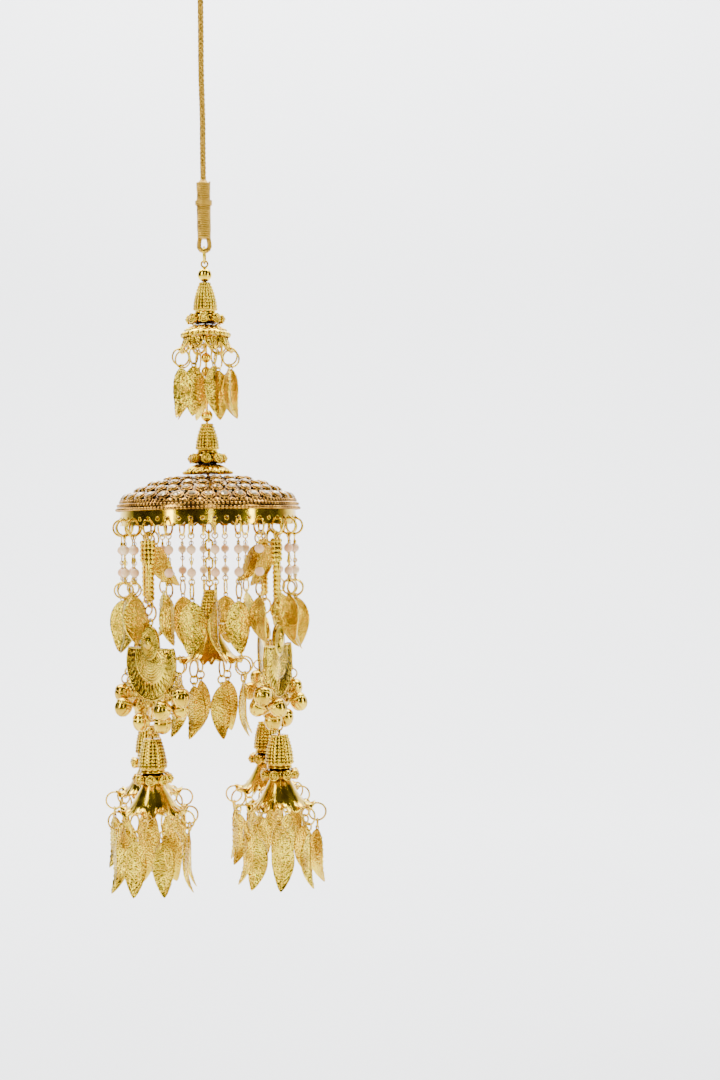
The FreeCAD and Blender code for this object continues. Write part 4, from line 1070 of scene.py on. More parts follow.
@dataclass
class Leaf:
    """A cupped filigree leaf on its eye and jump ring. The ring's middle is the origin."""

    tall: float
    wide: float
    ring_radius: float
    neck: float
    wire: float = 0.34 * MM
    rows: int = 42
    columns: int = 16
    veins: float = 9.0
    thick: float = 0.42 * MM
    tip_bend: float = 2.2 * MM
    tip_sway: float = 0.9 * MM
    cupping: float = 1.15 * MM
    rib_tall: float = 0.42 * MM
    vein_tall: float = 0.13 * MM
    rim_tall: float = 0.34 * MM
    rim_beads: float = 14.0
    eye: float = 0.72 * MM
    eye_wire: float = 0.24 * MM

    def half_width(self, share: float) -> float:
        """Half the blade's width a share of the way down it."""
        swell = math.sin(math.pi * min(max(share, 0.0), 1.0) ** 0.82)
        return 0.5 * self.wide * max(swell, 0.0) ** 0.72

    def blade(self) -> Shape:
        """The blade alone, hanging from the origin."""
        top = -self.ring_radius - self.neck
        front, back = [], []
        for row in range(self.rows + 1):
            share = row / self.rows
            half = self.half_width(share)
            bend = self.tip_bend * max(share - 0.62, 0.0) ** 2 / 0.38 ** 2
            sway = self.tip_sway * max(share - 0.55, 0.0) ** 2 / 0.45 ** 2
            fade = min(1.0, 6.0 * share, 6.0 * (1.0 - share))
            z = top - share * self.tall
            for column in range(self.columns + 1):
                across = 2.0 * column / self.columns - 1.0
                x = across * half + sway
                y = bend - self.cupping * (across ** 2) * (half / (0.5 * self.wide)) ** 2
                rib = self.rib_tall * math.exp(-((across * half) / self.rib_tall) ** 2)
                wave = math.cos(2.0 * math.pi * (self.veins * share + 1.7 * abs(across) ** 1.3))
                vein = self.vein_tall * wave * abs(across) ** 0.5
                rim = self.rim_tall * max(abs(across) - 0.8, 0.0) / 0.2
                rim *= 0.7 + 0.5 * math.cos(2.0 * math.pi * self.rim_beads * share)
                front.append((x, y + fade * (rib + vein + rim), z))
                back.append((x, y - self.thick - 0.35 * fade * (rib - vein), z))
        shape = Shape().add(front, grid_faces(self.rows + 1, self.columns + 1, False, False))
        shape.add(back, grid_faces(self.rows + 1, self.columns + 1, False, False))
        edge = self.columns + 1
        offset = (self.rows + 1) * edge
        for row in range(self.rows):
            for column in (0, self.columns):
                corner = row * edge + column
                shape.faces.append((corner, corner + edge, corner + edge + offset, corner + offset))
        for row in (0, self.rows):
            for column in range(self.columns):
                corner = row * edge + column
                shape.faces.append((corner, corner + 1, corner + 1 + offset, corner + offset))
        return shape

    def shape(self, spin: float) -> Shape:
        """The whole drop.

        Args:
            spin: The blade's turn about the upright, in degrees.

        Returns:
            The blade, its eye, any link between and the jump ring.
        """
        upright = Shape().put(ring(self.ring_radius, self.wire, 32, 8), turn(90.0, "Y"))
        hanging = self.blade()
        top = -self.ring_radius - self.neck
        hanging.put(ring(self.eye, self.eye_wire, 16, 6),
                    at(0.0, -0.1 * MM, top + 0.45 * MM) @ turn(90.0, "X"))
        upright.put(hanging, turn(spin, "Z"))
        if self.neck > 2.0 * MM:
            link = 0.5 * (self.neck - 0.1 * MM)
            middle = -self.ring_radius - 0.5 * self.neck + 0.55 * MM
            upright.put(ring(link, self.wire, 24, 6), at(0.0, 0.0, middle) @ turn(90.0, "X"))
        return upright


@dataclass
class LeafField:
    """The leaf drops of one node, hung where their solids hang."""

    name: str
    node: str
    body: str
    drops: list[tuple[Leaf, float, Matrix]] = field(default_factory=list)

    def hang(self, leaf: Leaf, spin: float, place: Matrix) -> None:
        """Add one drop with its own turn and place."""
        self.drops.append((leaf, spin, place))

    def build(self) -> None:
        """Build every drop, alike ones by one set of copies."""
        shape = Shape()
        kinds: dict[tuple[float, ...], tuple[Leaf, float, list[Matrix]]] = {}
        for leaf, spin, place in self.drops:
            key = (leaf.tall, leaf.wide, leaf.ring_radius, leaf.neck, spin)
            kinds.setdefault(key, (leaf, spin, []))[2].append(place)
        for leaf, spin, places in kinds.values():
            shape.put(SET.copies(leaf.shape(spin), places))
        finish_piece(self.name, shape, self.body, LEAF_GOLD, [self.node])


@dataclass
class TopCap:
    """The domed cap: beaded rim and eight openwork petals."""

    petals: int = 8
    petal_wire: float = 0.5 * MM
    rib_wire: float = 0.34 * MM
    scroll_wire: float = 0.3 * MM
    scroll_heart: float = 0.62 * MM
    bead_rows: tuple[tuple[int, float, float, float], ...] = (
        (26, 8.2, -3.55, 0.98), (24, 6.95, -2.15, 0.88), (20, 5.5, -1.15, 0.7), (15, 4.0, -0.55, 0.6))

    def on_petal(self, across: float, down: float) -> Vector:
        """A point of one petal from its place across (-1 to 1) and down (0 to 1)."""
        half = math.radians(180.0 / self.petals) * 0.86
        radius = (7.5 + 0.5 * down + 2.1 * down ** 2) * MM
        angle = math.radians(90.0) + across * half * math.sin(math.pi * (0.36 + 0.5 * down)) ** 0.5
        return Vector((radius * math.cos(angle), radius * math.sin(angle), (-4.1 - 5.6 * down) * MM))

    def petal(self) -> Shape:
        """One petal of wires: an outline, a mid rib, two scrolls and the ring's eye."""
        outline = []
        for step in range(28):
            angle = math.pi * step / 27.0
            outline.append(self.on_petal(math.cos(angle), 0.04 + 0.9 * math.sin(angle) ** 0.8))
        wires = tube(outline, self.petal_wire, 8)
        rib = [self.on_petal(0.0, share) for share in np.linspace(0.0, 0.62, 8)]
        wires.put(tube(rib, self.rib_wire, 6))
        for side in (-1.0, 1.0):
            scroll = [self.on_petal(side * (0.42 + 0.26 * math.cos(a)), 0.36 + 0.2 * math.sin(a))
                      for a in once_round(18)]
            wires.put(tube(scroll, self.scroll_wire, 6, True))
            wires.put(ball(self.scroll_heart, 10, 6), Matrix.Translation(self.on_petal(side * 0.42, 0.36)))
        eye = [self.on_petal(0.2 * math.cos(a), 0.79 + 0.13 * math.sin(a)) for a in once_round(18)]
        wires.put(tube(eye, self.rib_wire, 6, True))
        return wires

    def build(self) -> None:
        """Build the cap."""
        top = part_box("top_cap")[1].z
        outer = [(STEM_BORE, 0.0), (2.5 * MM, 0.0)]
        outer += on_arc((2.5 * MM, 0.0), (6.3 * MM, -1.1 * MM), (8.5 * MM, -3.1 * MM), 8)[1:]
        outer += [(8.5 * MM, -3.1 * MM), (8.2 * MM, -4.2 * MM), (6.9 * MM, -4.2 * MM), (6.7 * MM, -3.2 * MM),
                  (4.2 * MM, -1.9 * MM), (STEM_BORE, -1.2 * MM)]
        shape = lathe(outer, 48, True)
        for count, radius, height, granule in self.bead_rows:
            shape.put(ROW.row(count, radius * MM, height * MM, granule * MM))
        hung = [spot(90.0 + (number + 0.5) * 360.0 / self.petals, 0.0, 0.0) for number in range(self.petals)]
        shape.put(SET.copies(self.petal(), hung))
        finish_piece("openwork_cap", Shape().put(shape, at(0.0, 0.0, top)), "ornament", POLISHED,
                     ["top_cap"])


@dataclass
class CrownFlange:
    """The spreading flange with twisted ribs and a beaded rim."""

    ribs: int = 22
    rib_tall: float = 0.32 * MM
    bead_rows: tuple[tuple[int, float, float, float], ...] = ((30, 8.6, -3.1, 0.6), (16, 3.0, -0.15, 0.35))

    def build(self) -> None:
        """Build the flange."""
        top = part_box("crown_flange")[1].z
        profile = [(STEM_BORE, 0.0), (3.2 * MM, 0.0)]
        profile += on_arc((3.2 * MM, 0.0), (5.9 * MM, -0.9 * MM), (8.2 * MM, -2.9 * MM), 14)[1:]
        profile += [(8.2 * MM, -2.9 * MM), (8.2 * MM, -3.75 * MM), (STEM_BORE, -3.75 * MM)]

        def twist(angle: float, step: int) -> float:
            """Ribs that lean round the flange as they go down."""
            return self.rib_tall * math.cos(self.ribs * angle + 0.55 * step) if 1 < step < 15 else 0.0

        shape = lathe(profile, 132, True, twist)
        for count, radius, height, granule in self.bead_rows:
            shape.put(ROW.row(count, radius * MM, height * MM, granule * MM))
        finish_piece("ribbed_flange", Shape().put(shape, at(0.0, 0.0, top)), "ornament", POLISHED,
                     ["crown_flange"])


@dataclass
class JewelledDome:
    """The dome: rows of stones in cups, fine stones between, and granule rows at its edge."""

    edge: float = 33.0 * MM
    sink: float = 0.35 * MM
    foot: float = -12.2 * MM
    cup_wire: float = 0.27 * MM
    cup_lift: float = 0.95 * MM
    stone_rows: tuple[tuple[int, float, float], ...] = ((34, 29.2, 1.35), (30, 24.7, 1.15), (24, 20.0, 1.2),
                                                        (17, 14.4, 1.1))
    fine_rows: tuple[tuple[int, float, float], ...] = ((84, 27.1, 0.6), (76, 22.9, 0.58), (58, 17.6, 0.58),
                                                       (40, 12.1, 0.6), (30, 10.3, 0.6))
    edge_rows: tuple[tuple[int, float, float], ...] = ((130, 31.35, 0.6), (138, 32.2, 0.58),
                                                       (142, 32.62, 0.58), (146, 32.72, 0.55))

    def outline(self) -> list[tuple[float, float]]:
        """The outer surface from the middle to the edge, below the granules."""
        points = on_arc((8.0 * MM, -0.15 * MM), (20.0 * MM, -2.9 * MM), (29.7 * MM, -7.6 * MM), 26)
        points += on_arc((29.7 * MM, -7.6 * MM), (32.3 * MM, -9.6 * MM), (33.0 * MM, self.foot), 10)
        return [(radius - self.sink, height - self.sink) for radius, height in points]

    def height_and_tilt(self, radius: float) -> tuple[float, float]:
        """The surface's height and its slope in degrees at a radius."""
        points = self.outline()
        for (r0, z0), (r1, z1) in zip(points, points[1:]):
            if r0 <= radius <= r1:
                share = (radius - r0) / (r1 - r0)
                return z0 + (z1 - z0) * share, math.degrees(math.atan2(z0 - z1, r1 - r0))
        return points[-1][1], 80.0

    def places(self, count: int, radius: float, lift: float, shift: float = 0.0) -> list[Matrix]:
        """Places round the dome that look out from its surface."""
        height, tilt = self.height_and_tilt(radius)
        return [spot(360.0 * (number + shift) / count, radius, height) @ turn(-tilt, "X") @ at(0.0, 0.0, lift)
                for number in range(count)]

    @staticmethod
    def stone(radius: float) -> Shape:
        """A cut stone: a table, star and kite facets, a girdle, and a plain back."""
        rings = ((0.55, 0.5, 0.0), (0.84, 0.3, 0.5), (1.0, 0.04, 0.0), (0.85, -0.3, 0.0))
        points = [(radius * reach * math.cos(math.tau * (side + shift) / 8),
                   radius * reach * math.sin(math.tau * (side + shift) / 8), radius * height)
                  for reach, height, shift in rings for side in range(8)]
        faces: list[tuple[int, ...]] = [tuple(range(8)), tuple(range(31, 23, -1))]
        for side in range(8):
            after = (side + 1) % 8
            faces += [(side, 8 + side, after), (after, 8 + side, 8 + after),
                      (8 + side, 16 + side, 16 + after), (8 + side, 16 + after, 8 + after),
                      (16 + side, 24 + side, 24 + after, 16 + after)]
        return Shape().add(points, faces)

    def cup(self, radius: float) -> Shape:
        """A stone's cup: a solid drum with one wire at the stone and a lower one outside it."""
        drum = lathe([(0.0, -0.05 * MM), (radius * 1.2, -0.05 * MM), (radius * 1.55, -0.7 * MM),
                      (radius * 1.5, -1.6 * MM), (0.0, -1.6 * MM)], 20)
        drum.put(ring(radius * 1.16, self.cup_wire, 20, 6), at(0.0, 0.0, 0.12 * MM))
        return drum.put(ring(radius * 1.62, self.cup_wire, 20, 6), at(0.0, 0.0, -0.35 * MM))

    def crust(self) -> Shape:
        """The hollow dome's wall, before its stones and granules."""
        inner = on_arc((31.8 * MM, self.foot), (31.15 * MM, -10.2 * MM), (28.7 * MM, -8.5 * MM), 8)
        inner += on_arc((28.7 * MM, -8.5 * MM), (19.6 * MM, -4.2 * MM), (8.0 * MM, -1.4 * MM), 16)
        inner += [(8.0 * MM, -1.4 * MM), (STEM_BORE, -1.3 * MM)]
        outer = [(STEM_BORE, -0.15 * MM), *self.outline(), (self.edge - 0.3 * MM, self.foot)]
        return lathe(outer + inner, 96, True)

    def build(self) -> None:
        """Build the dome's crust and its stones."""
        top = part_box("dome")[1].z
        crust, stones, bright = self.crust(), Shape(), Shape()
        for number, (count, radius, size) in enumerate(self.stone_rows):
            places = self.places(count, radius * MM, self.cup_lift, 0.5 * (number % 2))
            crust.put(SET.copies(self.cup(size * MM), places))
            stones.put(SET.copies(self.stone(size * MM), places))
        for count, radius, size in self.fine_rows:
            places = self.places(count, radius * MM, self.sink)
            stones.put(SET.copies(self.stone(size * 1.15 * MM), places[::2]))
            crust.put(SET.copies(ball(size * MM, 8, 5), places[1::2]))
        for count, radius, size in self.edge_rows:
            height = self.height_and_tilt(radius * MM)[0]
            bright.put(ROW.row(count, radius * MM, height, size * MM))
        move = at(0.0, 0.0, top)
        finish_piece("jewelled_dome", Shape().put(crust, move), "ornament", ANTIQUE, ["dome"])
        finish_piece("dome_edge_granules", Shape().put(bright, move), "ornament", ANTIQUE)
        finish_piece("dome_stones", Shape().put(stones, move), "ornament", STONE, (),
                     Shade.FACETED)


@dataclass
class BeadBars:
    """The four bars of granules that carry the pendants."""

    granule: float = 0.98 * MM
    rows: int = 13
    wide_rows: int = 5
    wide_places: tuple[float, ...] = (-1.75 * MM, 0.0, 1.75 * MM)
    slim_places: tuple[float, ...] = (-0.9 * MM, 0.9 * MM)
    tall: float = 21.1 * MM
    core: float = 0.8 * MM

    def build(self) -> None:
        """Build all four bars as one piece."""
        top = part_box("bead_bars")[1].z - EYE_WIRE - 2.0 * EYE_RADIUS
        bottom = top - self.tall
        pitch = (self.tall - 2.0 * self.granule) / (self.rows - 1)
        places = []
        for row in range(self.rows):
            across = self.wide_places if row < self.wide_rows else self.slim_places
            places += [at(x, 0.0, top - self.granule - row * pitch) for x in across]
        bar = Shape().put(SET.copies(ball(self.granule, 12, 8), places))
        bar.put(pin(top - 0.3 * MM, bottom + 0.3 * MM, self.core, 8))
        for height in (top + EYE_RADIUS, bottom - EYE_RADIUS + 0.1 * MM):
            bar.put(eye_ring(height, "Y"))
        level = [Matrix.Translation((corner.bar.translation.x, corner.bar.translation.y, 0.0))
                 @ corner.bar.to_3x3().to_4x4() for corner in CORNERS]
        finish_piece("granule_bars", SET.copies(bar, level), "ornament", POLISHED,
                     ["bead_bars"])


@dataclass
class Pendant:
    """The half-round plate with its rim, sunray relief, medallion and loops."""

    radius: float = 13.3 * MM
    cut: float = 5.3 * MM
    wall: float = 1.0 * MM
    loop: float = 1.15 * MM
    loops: int = 13
    loop_step: float = 12.5
    loop_out: float = 0.85 * MM
    rays: int = 19
    ray_lines: tuple[tuple[float, float, float], ...] = ((8.5, 12.2, 0.24), (9.5, 11.0, 0.15))
    arc_radius: float = 7.85 * MM
    arc_lines: tuple[tuple[float, float], ...] = ((0.0, 0.26), (0.9, 0.14))
    dot: float = 0.27 * MM
    dot_rows: int = 6
    rim_wire: float = 0.34 * MM
    medallion: tuple[float, float] = (4.85 * MM, 6.0 * MM)
    medal_edge: float = 0.3 * MM
    medal_grooves: int = 45

    def inside(self, x: float, z: float, margin: float) -> bool:
        """Whether a point of the face is on the plate and off the medallion."""
        on_plate = math.hypot(x, z) < self.radius - margin and z < self.cut - margin
        wide, tall = (half + self.medal_edge for half in self.medallion)
        return on_plate and (x / wide) ** 2 + ((z - self.medallion_z) / tall) ** 2 > 1.0

    @property
    def medallion_z(self) -> float:
        """The medallion's middle above the disc's centre."""
        return self.cut + 1.6 * MM

    @property
    def half_turn(self) -> float:
        """Half the angle that the plate's round edge takes up, from its lowest point."""
        return math.acos(-self.cut / self.radius)

    def plate(self) -> Shape:
        """The plain plate and its raised rim."""
        half = self.half_turn
        edge = [(self.radius * math.sin(a), -self.radius * math.cos(a)) for a in np.linspace(-half, half, 64)]
        shape = Shape()
        front = [(x, self.wall / 2.0, z) for x, z in edge]
        back = [(x, -self.wall / 2.0, z) for x, z in edge]
        count = len(edge)
        shape.add(front + back, [tuple(range(count)), tuple(reversed(range(count, 2 * count)))]
                  + [(i, (i + 1) % count, count + (i + 1) % count, count + i) for i in range(count)])
        for face in (1.0, -1.0):
            inset = self.radius - 0.4 * MM
            rim = [Vector((inset * math.sin(a), face * self.wall / 2.0, -inset * math.cos(a)))
                   for a in np.linspace(-half, half, 64)]
            flat = [Vector((x, face * self.wall / 2.0, self.cut - 0.35 * MM))
                    for x in np.linspace(rim[-1].x, rim[0].x, 12)[1:-1]]
            shape.put(tube(rim + flat, self.rim_wire, 6, True))
        return shape

    def relief(self) -> Shape:
        """The sunrays, the inner arc and the punched dots of the face."""
        face = self.wall / 2.0
        centre = self.cut - 3.65 * MM
        shape = Shape()
        for inset, wire in self.arc_lines:
            radius = self.arc_radius - inset * MM
            line = [Vector((radius * math.sin(a), face, centre - radius * math.cos(a)))
                    for a in np.linspace(-2.1, 2.1, 60)]
            line = [point for point in line if self.inside(point.x, point.z, 0.5 * MM)]
            shape.put(tube(line, wire * MM, 6))
        half = self.half_turn - 0.07
        points = 2 * self.rays + 1
        for near, far, wire in self.ray_lines:
            zigzag = []
            for number in range(points):
                angle = -half + 2.0 * half * number / (points - 1)
                reach = far * MM if number % 2 else near * MM
                middle = 0.0 if number % 2 else centre * 0.5
                zigzag.append(Vector((reach * math.sin(angle), face, middle - reach * math.cos(angle))))
            zigzag = [point for point in zigzag if self.inside(point.x, point.z, 0.3 * MM)]
            shape.put(tube(zigzag, wire * MM, 5))
        dots = self.dots(centre, half)
        places = [at(x, face, z) for x, z in dots if self.inside(x, z, 0.6 * MM)]
        return shape.put(SET.copies(ball(self.dot, 6, 4), places))

    def dots(self, centre: float, half: float) -> list[tuple[float, float]]:
        """The punched dots: rows about the inner arc's centre, and three at the foot of each ray.

        Args:
            centre: The height of the inner arc's centre.
            half: Half the angle that the rays take up.

        Returns:
            Each dot's place across and up.
        """
        dots = []
        for row in range(self.dot_rows):
            radius = (2.0 + 0.95 * row) * MM
            each_side = 9 + 2 * row
            for number in range(-each_side, each_side + 1):
                angle = number * 1.9 / each_side
                dots.append((radius * math.sin(angle), centre - radius * math.cos(angle)))
        for number in range(self.rays + 1):
            angle = -half + 2.0 * half * number / self.rays
            for reach, aside in ((12.05, -0.035), (12.05, 0.035), (11.3, 0.0)):
                dots.append((reach * MM * math.sin(angle + aside), -reach * MM * math.cos(angle + aside)))
        return dots

    def medal(self) -> Shape:
        """The oval medallion: a double rim, radial grooves and a smooth boss, with a plain back."""
        wide, tall = self.medallion
        sides = 4 * self.medal_grooves
        rows = ((1.0, 0.0), (1.0, 0.75), (0.93, 1.0), (0.86, 0.8), (0.80, 0.95), (0.74, 0.8), (0.62, 0.95),
                (0.5, 1.1), (0.42, 1.15))
        points = []
        for reach, lift in rows:
            for side in range(sides):
                angle = 2.0 * math.pi * side / sides
                groove = 0.16 * math.cos(self.medal_grooves * angle) if 0.45 < reach < 0.78 else 0.0
                points.append((wide * reach * math.cos(angle), (lift + groove) * MM,
                               tall * reach * math.sin(angle)))
        shape = Shape().add(points, grid_faces(len(rows), sides, False, True))
        for reach, lift in ((1.0, 0.0), rows[-1]):
            rim = [(wide * reach * math.cos(a), lift * MM, tall * reach * math.sin(a))
                   for a in once_round(sides)]
            shape.add(rim, [tuple(range(sides))])
        shape.put(SET.copies(ball(1.0, 24, 14), [at(0.0, 1.0 * MM, 0.0)], [(1.85 * MM, 1.25 * MM, 2.5 * MM)]))
        back = (wide * 0.98, 1.3 * MM, tall * 0.98)
        return shape.put(SET.copies(ball(1.0, 32, 12), [at(0.0, -0.1 * MM, 0.0)], [back]))

    @property
    def loop_reach(self) -> float:
        """How far the loops' middles are from the disc's centre."""
        return self.radius + self.loop_out

    def shape(self, centre: float, eye_z: float) -> Shape:
        """The pendant in its own frame.

        Args:
            centre: The height of the disc's centre.
            eye_z: The height of the top eye's middle.

        Returns:
            The whole pendant without its bells.
        """
        whole = Shape().put(self.plate()).put(self.relief())
        whole.put(self.medal(), at(0.0, 0.0, self.medallion_z))
        places = []
        for number in range(self.loops):
            angle = math.radians((number - self.loops // 2) * self.loop_step)
            places.append(at(self.loop_reach * math.sin(angle), 0.0, -self.loop_reach * math.cos(angle))
                          @ turn(90.0, "X"))
        whole.put(SET.copies(ring(self.loop, EYE_WIRE, 20, 8), places))
        moved = Shape().put(whole, at(0.0, 0.0, centre))
        return moved.put(eye_ring(eye_z, "Y"))

    def centre(self, corner: Corner) -> float:
        """The height of the disc's centre below a corner's plate hinge."""
        drop = corner.drop.translation.z - corner.plate.translation.z
        return drop + self.loop + self.loop_reach

    def build(self) -> None:
        """Build the four pendants."""
        for corner in CORNERS:
            centre = self.centre(corner)
            eye_z = centre + self.medallion_z + self.medallion[1] + EYE_RADIUS
            whole = Shape().put(self.shape(centre, eye_z), corner.plate)
            name = f"pendant_{corner.number}"
            finish_piece(f"sunray_{name}", whole, name, PLATE_GOLD, [name])


@dataclass
class SlottedBells:
    """The small slotted bells: two pairs that share a loop and four single ones on each plate."""

    places: tuple[tuple[int, float, float], ...] = ((2, 0.0, 0.0), (4, 28.0, 0.0), (4, -28.0, 0.0),
                                                    (6, 0.0, 18.0))
    pair_aside: float = 0.36 * MM
    pair_lift: float = 0.5 * MM
    ring_radius: float = 1.85 * MM
    wire: float = 0.3 * MM
    hang: float = 0.35 * MM
    neck: float = 0.45 * MM
    neck_tall: float = 0.5 * MM
    outline: tuple[tuple[float, float], ...] = (
        (0.0, -0.1), (1.0, -0.1), (1.9, -0.5), (2.7, -1.1), (3.05, -1.9), (3.12, -2.3), (2.85, -2.42),
        (3.0, -2.62), (3.12, -3.2), (3.0, -4.2), (2.6, -5.2), (1.9, -6.1), (1.0, -6.65), (0.0, -6.8))

    def bell(self) -> Shape:
        """One bell: cap, shoulder, seam, and four petals below with dark slits between them."""
        ring_z = -self.hang - self.ring_radius
        top = ring_z - self.ring_radius - self.neck_tall

        def slits(angle: float, step: int) -> float:
            """Four narrow folds that open towards the foot."""
            depth = min(max(step - 7, 0), 5) * 0.17 * MM
            near = abs(math.sin(2.0 * angle))
            return -depth * math.exp(-((near / 0.22) ** 2))

        body = lathe([(radius * MM, height * MM) for radius, height in self.outline], 48, False, slits)
        whole = Shape().put(body, at(0.0, 0.0, top))
        whole.put(pin(ring_z - self.ring_radius, top - 0.3 * MM, self.neck, 8))
        return whole.put(ring(self.ring_radius, self.wire, 24, 6), at(0.0, 0.0, ring_z) @ turn(90.0, "Y"))

    def build(self) -> None:
        """Build the four sets of eight bells."""
        pendant = Pendant()
        reach = pendant.loop_reach
        bell = self.bell()
        for corner in CORNERS:
            centre = pendant.centre(corner)
            places = []
            for sign in (-1, 1):
                for step, lean, spread in self.places:
                    angle = math.radians(sign * step * pendant.loop_step)
                    hung = corner.plate @ at(reach * math.sin(angle), 0.0, centre - reach * math.cos(angle))
                    if lean:
                        hung = hung @ at(math.copysign(self.pair_aside, lean), 0.0, self.pair_lift)
                    places.append(hung @ turn(lean, "X") @ turn(-sign * spread, "Y"))
            node = f"pendant_bells_{corner.number}"
            finish_piece(f"slotted_{node}", SET.copies(bell, places), f"pendant_{corner.number}", SATIN,
                         [node])


@dataclass
class PearlWires:
    """The wires through the pearls, with coiled loops above, between and below them."""

    wire: float = 0.25 * MM
    eye: float = 1.0 * MM
    coil: float = 0.72 * MM
    coil_wire: float = 0.17 * MM
    collar: float = 0.42 * MM
    collar_wire: float = 0.15 * MM
    collar_step: float = 1.62 * MM
    strands: int = 24
    pearl_heights: tuple[float, float] = (-204.84 * MM, -212.76 * MM)

    def build(self) -> None:
        """Build the wires of all strands."""
        low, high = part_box("pearl_wires")
        top_eye = high.z - self.wire - self.eye
        low_eye = low.z + self.wire + self.eye
        strand = Shape()
        for height in (top_eye, low_eye):
            strand.put(ring(self.eye, self.wire, 20, 6), at(0.0, 0.0, height) @ turn(90.0, "X"))
        strand.put(pin(top_eye - self.eye, low_eye + self.eye, self.wire, 6))
        first, second = self.pearl_heights
        between = 0.5 * (first + second)
        coils = [(between + 0.75 * self.coil, 0.0), (between - 0.75 * self.coil, 65.0),
                 (first + 2.2 * MM, 30.0), (second - 2.1 * MM, 50.0)]
        for height, spin in coils:
            upright = at(0.0, 0.0, height) @ turn(spin, "Z") @ turn(90.0, "X")
            strand.put(ring(self.coil, self.coil_wire, 16, 6), upright)
        for height in self.pearl_heights:
            for step in (-self.collar_step, self.collar_step):
                strand.put(ring(self.collar, self.collar_wire, 12, 5), at(0.0, 0.0, height + step))
        places = [spot(FIRST_AZIMUTH + 360.0 * number / self.strands, HANG_RADIUS, 0.0)
                  for number in range(self.strands) if number % 6]
        finish_piece("coiled_pearl_wires", SET.copies(strand, places), "ornament", POLISHED,
                     ["pearl_wires"])


@dataclass
class BandEyelets:
    """Raised eyelets round the holes of the rim band."""

    count: int = 48
    band_radius: float = 31.5 * MM
    hole_drop: float = 4.2 * MM
    eyelet: float = 0.72 * MM
    wire: float = 0.18 * MM

    def build(self) -> None:
        """Build the ring of eyelets."""
        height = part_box("rim_band")[1].z - self.hole_drop
        eyelet = Shape().put(ring(self.eyelet, self.wire, 16, 6), turn(90.0, "X"))
        places = [spot(FIRST_AZIMUTH + 360.0 * number / self.count, self.band_radius, height)
                  for number in range(self.count)]
        finish_piece("band_eyelets", SET.copies(eyelet, places), "ornament", POLISHED)


@dataclass
class FlowerBell:
    """A bell of eight ruffled and veined petals on a smooth neck."""

    petals: int = 8
    reach: float = 12.3 * MM
    notch: float = 9.3 * MM
    columns: int = 192
    rows: int = 26
    ruffle_tall: float = 0.62 * MM
    vein_tall: float = 0.1 * MM
    curl_tall: float = 1.0 * MM
    lip_tall: float = 1.1 * MM
    thick: float = 0.55 * MM
    lowest: float = -11.0 * MM

    def outer(self, share: float) -> tuple[float, float]:
        """The plain bell's radius and height a share of the way from its neck to its rim."""
        upper = on_arc((3.4 * MM, 0.0), (4.9 * MM, -2.9 * MM), (7.0 * MM, -6.4 * MM), 30)
        lower = on_arc((7.0 * MM, -6.4 * MM), (9.3 * MM, -9.0 * MM), (12.3 * MM, -10.3 * MM), 30)
        points = upper + lower + [(12.3 * MM, -10.3 * MM)]
        place = share * (len(points) - 1)
        low = min(int(place), len(points) - 2)
        blend = place - low
        return tuple(a + (b - a) * blend for a, b in zip(points[low], points[low + 1]))

    def shape(self) -> Shape:
        """The flower bell with its neck's top at height 0."""
        outside, inside = [], []
        for row in range(self.rows + 1):
            share = row / self.rows
            for column in range(self.columns):
                angle = 2.0 * math.pi * column / self.columns
                petal = math.cos(self.petals * (angle - math.pi / self.petals))
                edge = 0.5 - 0.5 * petal
                rim = self.notch + (self.reach - self.notch) * (1.0 - edge ** 3)
                radius, height = self.outer(share * rim / self.reach)
                loose = max(share - 0.45, 0.0) / 0.55
                ruffle = self.ruffle_tall * loose ** 2 * math.cos(3.0 * self.petals * angle + 0.6)
                vein = self.vein_tall * loose * math.cos(8.0 * self.petals * angle)
                curl = self.curl_tall * loose ** 3 * petal
                lip = self.lip_tall * max(share - 0.82, 0.0) / 0.18
                z = min(height + ruffle + curl + lip * (0.4 + 0.4 * petal), 0.0)
                outer = radius + vein
                outside.append((outer * math.cos(angle), outer * math.sin(angle), z))
                inner = max(radius - self.thick * (1.0 - 0.6 * share), 0.6 * MM)
                low = max(z - 0.45 * MM, self.lowest)
                inside.append((inner * math.cos(angle), inner * math.sin(angle), low))
        rows = self.rows + 1
        shape = Shape()
        order = outside + [point for row in reversed(range(rows))
                           for point in inside[row * self.columns:(row + 1) * self.columns]]
        shape.add(order, grid_faces(2 * rows, self.columns, True, True))
        neck = [(STEM_BORE, 0.0), (3.4 * MM, 0.0), (3.2 * MM, -0.6 * MM), (STEM_BORE, -0.6 * MM)]
        return shape.put(lathe(neck, 32, True))


